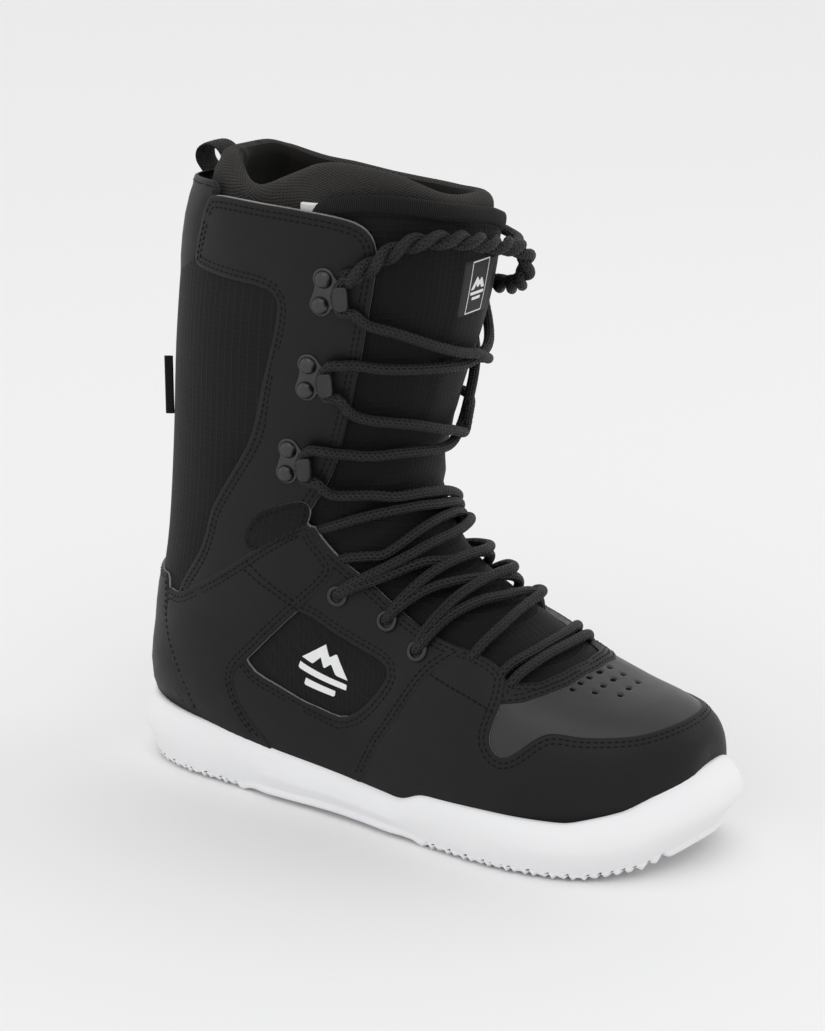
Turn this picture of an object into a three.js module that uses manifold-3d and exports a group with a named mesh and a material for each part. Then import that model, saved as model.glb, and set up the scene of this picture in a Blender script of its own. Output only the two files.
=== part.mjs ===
// Laced snowboard boot for the right foot, in millimetres.
// +X points to the toe, +Z up, and the lateral side is -Y. The origin is on the ground,
// under the centre of the boot. The foot body and the shaft body meet at the ankle, where
// every wall stops short of the next one by the room that the ankle's flex needs.
import * as THREE from 'three';
import { mergeVertices } from 'three/addons/utils/BufferGeometryUtils.js';
import Module from 'manifold-3d';

const wasm = await Module();
wasm.setup();

// ---- driving dimensions ----
const SHELL_WALL = 3;          // leather and its backing
const TONGUE_WALL = 5;
const LINER_WALL = 6;
const CLEARANCE = 0.9;         // between one curved layer and the next
const SEAM = 0.3;              // between two panels of one layer
const SOLE_GAP = 0.4;
const BOARD = 2.4;             // lasting board thickness
const FOOTBED = 5;
const SHELL_TOP_BACK = 290;
const SHELL_TOP_FRONT = 283;
const ANKLE = { x: -75, z: 108 };
const FLEX_FORWARD = 8.6;      // room for the flex, in degrees, with a little to spare
const FLEX_BACK = 3.6;
const LACE_RADIUS = 2;
const LACE_STEP = 5.5;
const SECTION_POWER = 2.35;    // how square the boot's cross-section is
const SECTION_SIDES = 24;
const RINGS_PER_STATION = 2;
const LINER_SIDES = 18;
const LINER_RINGS = 1;
const FAR = 400;               // longer than anything in the boot

// Cross-sections of the last, from toe to cuff. Each lies in a plane through its front and
// back points: front x, z; back x, z; lateral and medial half-widths; centre's y.
const STATIONS = [
  [148, 43, 148, 32, 0.5, 0.5, 7],
  [147, 57, 147, 17, 17, 16, 6.5],
  [139, 67, 139, 4, 33, 30, 6],
  [124, 73, 124, -5, 46, 42, 4.5],
  [102, 78, 102, -12, 55, 49, 3],
  [80, 87, 78, -22, 59, 52, 1],
  [58, 100, 50, -34, 58, 52, 0],
  [37, 112, 14, -42, 55, 50, 0],
  [18, 126, -36, -40, 50, 47, 0],
  [7, 144, -95, -24, 49, 47, 0],
  [6, 164, -146, 22, 49, 48, 0],
  [12, 186, -147, 68, 48, 48, 0],
  [18, 206, -139, 112, 50, 50, 0],
  [24, 224, -133, 160, 54, 54, 0],
  [29, 243, -129, 206, 57, 57, 0],
  [33, 265, -124, 248, 59, 59, 0],
  [36, 292, -120, 290, 60, 60, 0],
  [37, 312, -118, 312, 60, 60, 0],
];
const LAST = STATIONS.length - 1;

// Plan of the sole's outer edge, heel round to heel.
const SOLE_PLAN = [
  [-156, 0], [-150, -24], [-132, -40], [-97, -46], [-50, -44], [-8, -47], [32, -55], [70, -62],
  [105, -59], [133, -43], [151, -18], [156, 8], [150, 30], [130, 46], [100, 55], [62, 57],
  [20, 50], [-20, 44], [-60, 42], [-100, 44], [-131, 38], [-149, 21],
];
// Side view of the sole: its upper edge, from heel to toe.
const SOLE_TOP = [
  [-170, 35], [-140, 33], [-100, 29], [-60, 23], [-20, 18], [18, 16], [29, 22], [70, 23.5],
  [110, 27], [130, 33], [146, 42], [170, 52],
];
// The floor inside the cup of the sole, that the lasting board lies on.
const SOLE_FLOOR = [[-170, 18], [-90, 16], [-40, 11], [0, 8], [60, 8], [100, 12], [128, 20], [170, 36]];
const HEEL_LUGS = [-143, -75];
const TOE_LUGS = [37, 117];
const LUG_PITCH = 16;
const LUG_GROOVE = 3;
const ARCH_RISE = 4;
const TOE_SPRING = 11;

// ---- colours ----
const LEATHER = { color: 0x232525, roughness: 0.55 };
const VAMP_LEATHER = { color: 0x303231, roughness: 0.45 };
const TEXTILE = { color: 0x1c1d1e, roughness: 0.85 };
const MESH = { color: 0x2b2a28, roughness: 0.95 };
const RUBBER = { color: 0xefeded, roughness: 0.6 };
const METAL = { color: 0x3a3b3d, roughness: 0.35, metalness: 0.9 };
const CORD = { color: 0x141414, roughness: 0.9 };
const WHITE = { color: 0xe8e8e8, roughness: 0.7 };
const BOARD_STUFF = { color: 0xb9b4a8, roughness: 0.9 };

const boot = new THREE.Group();

function add(name, geometry, look) {
  const mesh = new THREE.Mesh(geometry, new THREE.MeshStandardMaterial({ metalness: 0, ...look }));
  mesh.name = name;
  boot.add(mesh);
  return mesh;
}

// ---- solids ----
function solid(geometry) {
  const bare = geometry.index ? geometry.clone() : geometry;
  bare.deleteAttribute('normal');
  bare.deleteAttribute('uv');
  const merged = mergeVertices(bare, 1e-4);
  return new wasm.Manifold(new wasm.Mesh({
    numProp: 3,
    vertProperties: new Float32Array(merged.attributes.position.array),
    triVerts: new Uint32Array(merged.index.array),
  }));
}

function geometryOf(manifold) {
  const mesh = manifold.getMesh();
  const geometry = new THREE.BufferGeometry();
  geometry.setAttribute('position', new THREE.BufferAttribute(mesh.vertProperties, 3));
  geometry.setIndex(new THREE.BufferAttribute(mesh.triVerts, 1));
  return geometry;
}

// A prism across the boot, whose outline is a polygon in side view.
function sidePrism(outline, fromY = -FAR / 2, toY = FAR / 2) {
  const shape = new THREE.Shape(outline.map(([x, z]) => new THREE.Vector2(x, z)));
  const geometry = new THREE.ExtrudeGeometry(shape, { depth: toY - fromY, bevelEnabled: false });
  geometry.rotateX(Math.PI / 2);
  geometry.translate(0, toY, 0);
  return solid(geometry);
}

// The outline pushed outwards by a distance, corner by corner.
function grown(outline, by) {
  const turn = THREE.ShapeUtils.isClockWise(outline.map(([x, z]) => new THREE.Vector2(x, z))) ? -1 : 1;
  return outline.map(([x, z], i) => {
    const [px, pz] = outline.at(i - 1);
    const [nx, nz] = outline[(i + 1) % outline.length];
    const before = new THREE.Vector2(x - px, z - pz).normalize();
    const after = new THREE.Vector2(nx - x, nz - z).normalize();
    const along = before.clone().add(after).normalize();
    const spread = by / Math.max(0.4, along.dot(before));
    return [x + turn * along.y * spread, z - turn * along.x * spread];
  });
}

function union(parts) {
  return parts.reduce((all, part) => all.add(part));
}

// ---- the last that every curved layer follows ----
function station(t) {
  const i = Math.min(LAST - 1, Math.max(0, Math.floor(t)));
  const u = t - i;
  const [a, b, c, d] = [Math.max(0, i - 1), i, i + 1, Math.min(LAST, i + 2)].map((k) => STATIONS[k]);
  return b.map((value, k) => 0.5 * (2 * value + (c[k] - a[k]) * u
    + (2 * a[k] - 5 * value + 4 * c[k] - d[k]) * u * u
    + (3 * value - a[k] - 3 * c[k] + d[k]) * u * u * u));
}

function power(value) {
  return Math.sign(value) * Math.abs(value) ** (2 / SECTION_POWER);
}

// angle 0 is the front ridge, negative on the lateral side, and half a turn is the back.
function skinPoint(t, angle) {
  const [fx, fz, bx, bz, lateral, medial, centre] = station(t);
  const along = power(Math.cos(angle));
  const across = power(Math.sin(angle));
  return new THREE.Vector3(
    (fx + bx) / 2 + ((fx - bx) / 2) * along,
    centre + across * (across < 0 ? lateral : medial),
    (fz + bz) / 2 + ((fz - bz) / 2) * along,
  );
}

function skinNormal(t, angle) {
  const step = 0.02;
  const low = Math.max(0, t - step);
  const high = Math.min(LAST, t + step);
  const round = skinPoint(t, angle + step).sub(skinPoint(t, angle - step));
  const up = skinPoint(high, angle).sub(skinPoint(low, angle));
  return round.cross(up).normalize();
}

function offSkin(t, angle, out) {
  return skinPoint(t, angle).addScaledVector(skinNormal(t, angle), out);
}

// The whole last, swollen by a distance, or shrunk where it is negative.
function lastSolid(out, sides = SECTION_SIDES, rings = RINGS_PER_STATION) {
  const geometry = new THREE.CylinderGeometry(1, 1, LAST, sides, LAST * rings);
  const { position } = geometry.attributes;
  for (let i = 0; i < position.count; i += 1) {
    const [x, y, z] = [position.getX(i), position.getY(i), position.getZ(i)];
    const t = y + LAST / 2;
    const onAxis = Math.hypot(x, z) < 0.5;
    const point = onAxis
      ? offSkin(t, 0, out).add(offSkin(t, Math.PI, out)).multiplyScalar(0.5)
      : offSkin(t, Math.atan2(x, z), out);
    position.setXYZ(i, point.x, point.y, point.z);
  }
  return solid(geometry);
}

// Side view to the last's own coordinates: the station and angle of a point on the skin.
function skinAt(x, z, side) {
  let [low, high] = [0, LAST];
  for (let k = 0; k < 40; k += 1) {
    const middle = (low + high) / 2;
    const [fx, fz, bx, bz] = station(middle);
    if ((fx - bx) * (z - bz) - (fz - bz) * (x - bx) > 0) low = middle;
    else high = middle;
  }
  const [fx, fz, bx, bz] = station(low);
  const share = ((x - bx) * (fx - bx) + (z - bz) * (fz - bz)) / ((fx - bx) ** 2 + (fz - bz) ** 2);
  const along = THREE.MathUtils.clamp(share * 2 - 1, -1, 1);
  return [low, side * Math.acos(Math.sign(along) * Math.abs(along) ** (SECTION_POWER / 2))];
}

// ---- outlines in side view ----
// The foot's upper limit at the ankle, from behind the heel to in front of the tongue.
const ANKLE_LINE = [[-185, 97], [ANKLE.x, ANKLE.z], [-21, 146], [70, 202]];

function turned([x, z], degrees) {
  const turn = THREE.MathUtils.degToRad(degrees);
  const [dx, dz] = [x - ANKLE.x, z - ANKLE.z];
  const [cos, sin] = [Math.cos(turn), Math.sin(turn)];
  return [ANKLE.x + dx * cos + dz * sin, ANKLE.z - dx * sin + dz * cos];
}

const FOOT_SIDE = [...ANKLE_LINE, [190, 202], [190, -60], [-185, -60]];
const SHAFT_SIDE = [
  turned(ANKLE_LINE[0], FLEX_BACK),
  [ANKLE.x, ANKLE.z + SEAM],
  ...ANKLE_LINE.slice(2).map((point) => turned(point, -FLEX_FORWARD)),
  [190, 215], [190, 330], [-185, 330],
];
const footPrism = sidePrism(FOOT_SIDE);
const shaftPrism = sidePrism(SHAFT_SIDE);
const EVERYWHERE = [[-FAR, -FAR], [FAR, -FAR], [FAR, FAR], [-FAR, FAR]];
const HALVES = {
  lateral: sidePrism(EVERYWHERE, -FAR / 2, -SEAM / 2),
  medial: sidePrism(EVERYWHERE, SEAM / 2, FAR / 2),
};

// All that is more than a lift above the floor inside the sole.
function aboveFloor(lift) {
  const floor = SOLE_FLOOR.map(([x, z]) => [x, z + lift]);
  return sidePrism([...floor, [170, FAR], [-170, FAR]]);
}

const TOE_FOXING = [
  [61, 60], [60, 54], [64, 49], [70, 48], [76, 52], [86, 61], [92, 64], [117, 64], [134, 67], [170, 72],
  [170, -60], [-20, -60], [-4, 21], [3, 37], [13, 52], [33, 81], [47, 92], [62, 84], [72, 82], [69, 73],
];
const VAMP = [
  [72, 82], [61, 60], [60, 54], [64, 49], [70, 48], [76, 52], [86, 61], [92, 64], [117, 64],
  [134, 67], [170, 72], [170, 120], [84, 120], [84, 88], [79, 83],
];
const THROAT = [
  [62, 84], [47, 92], [3, 123], [-21, 140], [-25, 150], [-30, 170], [60, 230], [120, 130], [84, 88], [79, 83],
  [72, 82],
];
const SIDE_WINDOW = [
  [-70, 64], [-49, 59], [-25, 52], [-15, 52], [-3, 57], [9, 74], [10, 80], [-6, 86], [-24, 92], [-34, 97],
];
const HEEL_FOXING = [
  [-17, 118], [-39, 98], [-71, 66], [-75, 59], [-72, 48], [-66, 39], [-57, 33], [-49, 27], [-40, -60],
  [-190, -60], [-190, 130], [-30, 150], [-25, 132],
];
const HEEL_COUNTER = [
  [-122, 130], [-120, 82], [-115, 60], [-108, 44], [-98, 29], [-90, -60], [-190, -60], [-190, 130],
];
const FLAP_FRONT = [
  [20, 330], [12, 271], [11, 262], [7, 243], [-1, 205], [-11, 173], [-25, 152], [-40, 130], [-75, 80],
];
const BACK_PANEL = [
  [-91, 255], [-51, 249], [-44, 242], [-46, 230], [-52, 207], [-58, 183], [-63, 171], [-73, 158], [-85, 139],
  [-88, 120], [-88, 60], [-190, 60], [-190, 236], [-118, 236], [-112, 252],
];
const SHELL_TOP = [
  [-190, SHELL_TOP_BACK], [-60, SHELL_TOP_BACK - 1], [12, SHELL_TOP_FRONT], [12, 60], [-190, 60],
];
const COLLAR = [[-190, 236.3], [-118.3, 236.3], [-112.3, 252], [-110, 330], [-190, 330]];
const TONGUE_TOP = 287;
const BINDING_TOP = TONGUE_TOP + 5;
const TONGUE = [
  [-35, TONGUE_TOP], [-26, 230], [-44, 170], [-50, 150], [-20, 120], [40, 72], [110, 76], [110, 120],
  [80, TONGUE_TOP],
];
const TONGUE_BINDING = [
  [-40, TONGUE_TOP + SEAM], [-40, BINDING_TOP], [90, BINDING_TOP], [90, TONGUE_TOP + SEAM],
];
const LINER_TOP = [[-190, 303], [-100, 301], [-60, 296], [60, 288], [190, 288], [190, -60], [-190, -60]];

// ---- outsole: a cup with lugs under the heel and the ball ----
function lugOutline() {
  const bottom = [[-170, 8], [-150, 4], [HEEL_LUGS[0], 0]];
  const grooves = (from, to) => {
    for (let x = from + LUG_PITCH; x < to - LUG_PITCH / 2; x += LUG_PITCH) {
      bottom.push([x - LUG_GROOVE, 0], [x - LUG_GROOVE / 2, LUG_GROOVE], [x, LUG_GROOVE], [x + 1, 0]);
    }
  };
  grooves(...HEEL_LUGS);
  bottom.push([HEEL_LUGS[1], 0], [HEEL_LUGS[1] + 4, ARCH_RISE]);
  bottom.push([TOE_LUGS[0] - 4, ARCH_RISE], [TOE_LUGS[0], 0]);
  grooves(...TOE_LUGS);
  bottom.push([TOE_LUGS[1], 0], [140, TOE_SPRING / 3], [158, TOE_SPRING], [170, TOE_SPRING + 6]);
  return [...bottom, ...[...SOLE_TOP].reverse()];
}

function outsole() {
  const curve = new THREE.CatmullRomCurve3(SOLE_PLAN.map(([x, y]) => new THREE.Vector3(x, y, 0)), true);
  const edge = curve.getSpacedPoints(64).slice(0, -1);
  const plan = new THREE.Shape(edge.map(({ x, y }) => new THREE.Vector2(x, y)));
  const prism = new THREE.ExtrudeGeometry(plan, { depth: 90, bevelEnabled: false });
  const column = solid(prism.translate(0, 0, -10));
  const cup = lastSolid(SOLE_GAP).intersect(aboveFloor(0));
  return column.intersect(sidePrism(lugOutline())).subtract(cup);
}
add('outsole', geometryOf(outsole()), RUBBER);

// ---- walls ----
const skin = lastSolid(0);
const underShell = lastSolid(-SHELL_WALL);
const shell = skin.subtract(underShell).intersect(aboveFloor(SOLE_GAP));
const footShell = shell.intersect(footPrism);
const shaftShell = shell.intersect(shaftPrism).intersect(sidePrism(SHELL_TOP));
const throatCut = sidePrism(grown(THROAT, SEAM));

add('toe_foxing', geometryOf(footShell.intersect(sidePrism(TOE_FOXING)).subtract(throatCut)), LEATHER);
const vampCut = union([throatCut, sidePrism(grown(TOE_FOXING, SEAM))]);
add('vamp', geometryOf(footShell.intersect(sidePrism(VAMP)).subtract(vampCut)), VAMP_LEATHER);
add('heel_counter', geometryOf(footShell.intersect(sidePrism(HEEL_COUNTER))), LEATHER);

const seamCut = (outline) => sidePrism(grown(outline, SEAM));
const quarterCut = union([...[TOE_FOXING, VAMP, HEEL_FOXING, SIDE_WINDOW].map(seamCut), throatCut]);
const heelCut = union([seamCut(HEEL_COUNTER), throatCut]);
for (const [side, half] of Object.entries(HALVES)) {
  const foot = footShell.intersect(half);
  const window = foot.intersect(sidePrism(SIDE_WINDOW)).subtract(seamCut(HEEL_FOXING));
  const foxing = foot.intersect(sidePrism(HEEL_FOXING)).subtract(heelCut);
  add(`quarter_${side}`, geometryOf(foot.subtract(quarterCut)), LEATHER);
  add(`side_window_${side}`, geometryOf(window), TEXTILE);
  add(`heel_foxing_${side}`, geometryOf(foxing), LEATHER);
}

const flapSide = sidePrism([...FLAP_FRONT, [-190, 80], [-190, 330]]);
const flapCut = union([BACK_PANEL, COLLAR].map(seamCut));
for (const [side, half] of Object.entries(HALVES)) {
  const flap = shaftShell.intersect(flapSide).intersect(half).subtract(flapCut);
  add(`shaft_panel_${side}`, geometryOf(flap), LEATHER);
}
add('back_panel', geometryOf(shaftShell.intersect(sidePrism(BACK_PANEL))), TEXTILE);
add('collar_pad', geometryOf(shaftShell.intersect(sidePrism(COLLAR))), LEATHER);

// ---- tongue: it lies under the flaps' front edges ----
const tongueOuter = lastSolid(-SHELL_WALL - CLEARANCE);
const tongueInner = lastSolid(-SHELL_WALL - CLEARANCE - TONGUE_WALL);
const tongueSheet = tongueOuter.subtract(tongueInner);
const tongue = tongueSheet.intersect(sidePrism(TONGUE));
add('tongue_lower', geometryOf(tongue.intersect(footPrism)), TEXTILE);
add('tongue_upper', geometryOf(tongue.intersect(shaftPrism)), TEXTILE);
add('tongue_binding', geometryOf(tongueSheet.intersect(sidePrism(TONGUE_BINDING))), TEXTILE);

// ---- liner: a soft inner boot, open at the top and at the front for the tongue ----
const LINER_DEPTH = SHELL_WALL + TONGUE_WALL + 3 * CLEARANCE;
const linerLast = (out) => lastSolid(out, LINER_SIDES, LINER_RINGS);
const linerOuter = linerLast(-LINER_DEPTH);
const linerInner = linerLast(-LINER_DEPTH - LINER_WALL);
const boardTop = SOLE_GAP + BOARD;
const footbedTop = boardTop + SEAM + FOOTBED;
const liner = linerOuter.subtract(linerInner)
  .intersect(aboveFloor(boardTop + SEAM))
  .intersect(sidePrism(LINER_TOP));
add('liner_foot', geometryOf(liner.intersect(footPrism)), MESH);
add('liner_cuff', geometryOf(liner.intersect(shaftPrism)), MESH);
const slab = (last, from, to) => last.intersect(aboveFloor(from)).subtract(aboveFloor(to));
const board = slab(linerLast(-SHELL_WALL - CLEARANCE), SOLE_GAP, boardTop);
const footbed = slab(linerLast(-LINER_DEPTH - LINER_WALL - CLEARANCE), boardTop + SEAM, footbedTop);
add('lasting_board', geometryOf(board), BOARD_STUFF);
add('footbed', geometryOf(footbed), TEXTILE);

// ---- fittings: each stands on the skin, with its axis along the skin's normal ----
function onSkin(mesh, x, z, side, out) {
  const [t, angle] = skinAt(x, z, side);
  const normal = skinNormal(t, angle);
  mesh.position.copy(offSkin(t, angle, out));
  const front = new THREE.Vector3(1, 0, 0).addScaledVector(normal, -normal.x).normalize();
  mesh.setRotationFromMatrix(new THREE.Matrix4().makeBasis(front, normal.clone().cross(front), normal));
}

function revolved(profile, sides) {
  const points = profile.map(([r, z]) => new THREE.Vector2(r, z));
  return new THREE.LatheGeometry(points, sides).rotateX(Math.PI / 2);
}

const EYELETS = [[-16, 109], [9, 102], [28, 90]];
const HOOKS = [[-37, 172], [-28, 212], [-19, 253]];
const EYELET_PROFILE = [[3, 0.4], [5.4, 0.4], [4.6, 1.8], [3, 1.6], [3, 0.4]];
const RIVET_PROFILE = [[0, 1.4], [4, 1.4], [3.4, 3], [0, 4.2]];
const HOOK_PLATE = { length: 20, width: 9, thickness: 1.1 };
const HOOK_RISE = 8.2;
const HOOK_FOOT = 0.9;         // how far the plate stands off the skin
const GATE_WIDTH = 4.4;
const RIVETS = { low: [-1.8, -6], high: [1.2, 6] };

// A plate that stands on the flap, and a gate that curls forwards over the lace.
function hookGeometry() {
  const { length, width, thickness } = HOOK_PLATE;
  const plate = new THREE.BoxGeometry(width, length, thickness).translate(0, 0, HOOK_FOOT + thickness / 2);
  const gate = new THREE.Shape([
    [3, HOOK_FOOT], [9, HOOK_FOOT], [12.4, 2.3], [13.4, HOOK_RISE], [8, HOOK_RISE],
    [8, HOOK_RISE - 1.2], [12, HOOK_RISE - 1.3], [11.2, 3.2], [8.4, 1.9], [3, 1.9],
  ].map(([x, z]) => new THREE.Vector2(x, z)));
  const curl = new THREE.ExtrudeGeometry(gate, { depth: GATE_WIDTH, bevelEnabled: false })
    .rotateX(Math.PI / 2)
    .translate(0, GATE_WIDTH / 2, 0);
  return geometryOf(solid(plate).add(solid(curl)));
}

const hook = hookGeometry();
const rivet = revolved(RIVET_PROFILE, 8);
const eyelet = revolved(EYELET_PROFILE, 10);
for (const [side, sign] of [['lateral', -1], ['medial', 1]]) {
  EYELETS.forEach(([x, z], i) => onSkin(add(`eyelet_${side}_${i + 1}`, eyelet, METAL), x, z, sign, 0));
  HOOKS.forEach(([x, z], i) => {
    onSkin(add(`hook_${side}_${i + 1}`, hook, METAL), x, z, sign, 0);
    for (const [end, [ahead, up]] of Object.entries(RIVETS)) {
      onSkin(add(`rivet_${side}_${i + 1}_${end}`, rivet, METAL), x + ahead, z + up, sign, HOOK_FOOT);
    }
  });
}

// ---- lace: each point is a side view place, the side, and how far it stands off the skin ----
const RIDGE = 0;
const LOW = 3;
const HIGH = 9;
const IN_HOOK = 4.4;

// The lace turns round behind the gate of a hook, from below it to above it or the other way.
function aroundHook([x, z], side, direction) {
  return [[18, -7.6], [10.5, -6.8], [7, 0], [10.5, 6.8], [18, 7.6]]
    .map(([ahead, up]) => [x + ahead, z + up * direction, side, IN_HOOK]);
}

const LACE_LOWER = [
  [-3, 118, 1, 6], [14, 121, 1, LOW], [30, 119, RIDGE, HIGH], [28, 108, -1, LOW + 2],
  [19, 103, -1, 6], [24, 99, -1, 6],
  [40, 101, -1, LOW], [52, 105, RIDGE, LOW], [56, 96, 1, LOW], [43, 92, 1, 6], [50, 88, 1, 6],
  [66, 94, 1, LOW], [72, 93, RIDGE, LOW], [66, 92, -1, LOW], [50, 86, -1, 6], [43, 90, -1, 6],
  [56, 98, -1, HIGH], [58, 101, RIDGE, HIGH], [42, 104, 1, HIGH], [24, 101, 1, 6], [19, 106, 1, 6],
  [26, 112, 1, LOW], [36, 114, RIDGE, LOW], [18, 122, -1, LOW + 1], [-3, 119, -1, 6],
];
const LACE_UPPER = [
  ...aroundHook(HOOKS[0], 1, 1), [4, 190, 1, LOW + 1], [17, 194, RIDGE, LOW], [4, 184, -1, LOW + 1],
  ...aroundHook(HOOKS[0], -1, 1), [4, 192, -1, LOW + 1], [22, 211, RIDGE, LOW], [16, 209, 1, LOW + 1],
  ...aroundHook(HOOKS[1], 1, 1), [10, 230, 1, LOW + 1], [28, 236, RIDGE, LOW], [16, 240, -1, 6],
  ...aroundHook(HOOKS[2], -1, 1), [14, 270, -1, 6], [33, 277, RIDGE, 5], [22, 274, 1, LOW + 1],
  [14, 270, 1, 6],
];

function lace(points) {
  const route = points.map(([x, z, side, out]) => {
    if (side !== RIDGE) {
      const [t, angle] = skinAt(x, z, side);
      return offSkin(t, angle, out);
    }
    const [t] = skinAt(x - 2, z - 2, 1);
    return offSkin(t, 0, out);
  });
  const curve = new THREE.CatmullRomCurve3(route, false, 'centripetal');
  const circle = new THREE.Shape().absarc(0, 0, LACE_RADIUS, 0, 2 * Math.PI);
  const steps = Math.round(curve.getLength() / LACE_STEP);
  const settings = { extrudePath: curve, steps, curveSegments: 4, bevelEnabled: false };
  return new THREE.ExtrudeGeometry(circle, settings);
}
add('lace_lower', lace(LACE_LOWER), CORD);
add('lace_upper', lace(LACE_UPPER), CORD);

// ---- small trim ----
// A webbing loop behind the cuff's back edge. It leans back about its lower end.
const LOOP_WIDTH = 16;
const LOOP_THICKNESS = 1.4;
function pullLoop() {
  const path = new THREE.CatmullRomCurve3([
    [-111.4, 293], [-112, 298.5], [-117, 303], [-121.6, 299], [-121, 294.5], [-118, 292.6],
  ].map(([x, z]) => new THREE.Vector3(x, 0, z)));
  const [wide, thick] = [LOOP_WIDTH / 2, LOOP_THICKNESS / 2];
  const strip = new THREE.Shape([[-wide, -thick], [wide, -thick], [wide, thick], [-wide, thick]]
    .map(([x, y]) => new THREE.Vector2(x, y)));
  return new THREE.ExtrudeGeometry(strip, { extrudePath: path, steps: 12, bevelEnabled: false });
}
add('pull_loop', pullLoop(), TEXTILE);

// A folded label, sewn into the back seam by one edge, that stands out from the skin.
const FLAG = { out: 7, width: 1.4, height: 28, x: -131, z: 184, angle: -2.85 };
const flag = add('flag_label', new THREE.BoxGeometry(FLAG.height, FLAG.width, FLAG.out), TEXTILE);
const [flagStation] = skinAt(FLAG.x, FLAG.z, -1);
const flagNormal = skinNormal(flagStation, FLAG.angle).setZ(0).normalize();
const upward = new THREE.Vector3(0, 0, 1);
flag.position.copy(skinPoint(flagStation, FLAG.angle)).addScaledVector(flagNormal, FLAG.out / 2 + 4 * SEAM);
const flagBasis = new THREE.Matrix4().makeBasis(upward, flagNormal.clone().cross(upward), flagNormal);
flag.setRotationFromMatrix(flagBasis);

const label = add('tongue_label', new THREE.BoxGeometry(20, 26, 0.8), WHITE);
onSkin(label, 26, 251, -1, -2.8);

const sizeTag = add('size_tag', new THREE.BoxGeometry(14, 9, 0.6), WHITE);
onSkin(sizeTag, -52, 290, -1, -LINER_DEPTH + 1.6);

export default boot;
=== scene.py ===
"""A laced snowboard boot: panelled upper, cup sole, tongue, padded inner boot, hooks, eyelets and lace.

Lengths are in millimetres and turned into metres when a mesh is made. +X is the toe and -Y the
lateral side. A place on the upper is a station t, from the toe at 0 to the cuff at 17, and an
angle a round the section: 0 is the front ridge, negative is lateral, half a turn is the back.
"""

import math

import bpy
import numpy as np
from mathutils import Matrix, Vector, geometry
from mathutils.kdtree import KDTree


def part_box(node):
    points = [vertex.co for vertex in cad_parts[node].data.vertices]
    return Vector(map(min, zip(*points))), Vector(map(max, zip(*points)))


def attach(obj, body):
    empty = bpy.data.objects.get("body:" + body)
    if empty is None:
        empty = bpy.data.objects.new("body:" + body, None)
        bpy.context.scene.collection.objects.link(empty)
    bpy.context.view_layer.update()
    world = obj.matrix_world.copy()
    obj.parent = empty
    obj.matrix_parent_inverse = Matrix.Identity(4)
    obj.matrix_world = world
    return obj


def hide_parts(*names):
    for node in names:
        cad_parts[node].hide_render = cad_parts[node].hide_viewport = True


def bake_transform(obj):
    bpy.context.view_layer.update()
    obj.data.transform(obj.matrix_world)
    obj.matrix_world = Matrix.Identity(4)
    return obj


MM = 0.001
SECTION_POWER = 2.35
FULL = 2 * math.pi

# Sections of the last: front x, z; back x, z; lateral and medial half-widths; centre's y.
STATIONS = np.array([
    [148, 43, 148, 32, 0.5, 0.5, 7],
    [147, 57, 147, 17, 17, 16, 6.5],
    [139, 67, 139, 4, 33, 30, 6],
    [124, 73, 124, -5, 46, 42, 4.5],
    [102, 78, 102, -12, 55, 49, 3],
    [80, 87, 78, -22, 59, 52, 1],
    [58, 100, 50, -34, 58, 52, 0],
    [37, 112, 14, -42, 55, 50, 0],
    [18, 126, -36, -40, 50, 47, 0],
    [7, 144, -95, -24, 49, 47, 0],
    [6, 164, -146, 22, 49, 48, 0],
    [12, 186, -147, 68, 48, 48, 0],
    [18, 206, -139, 112, 50, 50, 0],
    [24, 224, -133, 160, 54, 54, 0],
    [29, 243, -129, 206, 57, 57, 0],
    [33, 265, -124, 248, 59, 59, 0],
    [36, 292, -120, 290, 60, 60, 0],
    [37, 312, -118, 312, 60, 60, 0],
], float)
LAST = len(STATIONS) - 1
SINK = 1.8                         # the sections are of the finished outside, layers and all

# Upper edge of the sole, and plan of its outer edge.
SOLE_TOP = [
    (-170, 34), (-138, 32), (-97, 29), (-52, 25), (-5, 21), (20, 19.5), (31, 25), (67, 26.5),
    (109, 27), (134, 33), (148, 41), (170, 52),
]
SOLE_PLAN = [
    (-154, 0), (-148, -24), (-131, -40), (-97, -46), (-50, -44), (-8, -47), (32, -55), (70, -62),
    (106, -59), (135, -43), (153, -18), (158.5, 8), (152, 30), (131, 46), (100, 55), (62, 57),
    (20, 50), (-20, 44), (-60, 42), (-100, 44), (-130, 38), (-147, 21),
]

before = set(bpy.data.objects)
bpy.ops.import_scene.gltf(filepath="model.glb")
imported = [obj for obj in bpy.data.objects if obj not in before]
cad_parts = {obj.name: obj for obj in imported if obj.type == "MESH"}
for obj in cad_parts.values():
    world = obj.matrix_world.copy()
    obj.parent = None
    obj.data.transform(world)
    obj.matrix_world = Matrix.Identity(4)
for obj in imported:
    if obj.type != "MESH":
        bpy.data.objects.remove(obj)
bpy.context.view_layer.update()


# ---------------------------------------------------------------- the last
def station(t):
    t = np.clip(np.asarray(t, float), 0, LAST)
    i = np.clip(t.astype(int), 0, LAST - 1)
    u = (t - i)[..., None]
    a, b = STATIONS[np.maximum(i - 1, 0)], STATIONS[i]
    c, d = STATIONS[i + 1], STATIONS[np.minimum(i + 2, LAST)]
    return 0.5 * (2 * b + (c - a) * u + (2 * a - 5 * b + 4 * c - d) * u**2 + (3 * b - a - 3 * c + d) * u**3)


def powered(v):
    return np.sign(v) * np.abs(v) ** (2 / SECTION_POWER)


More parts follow.
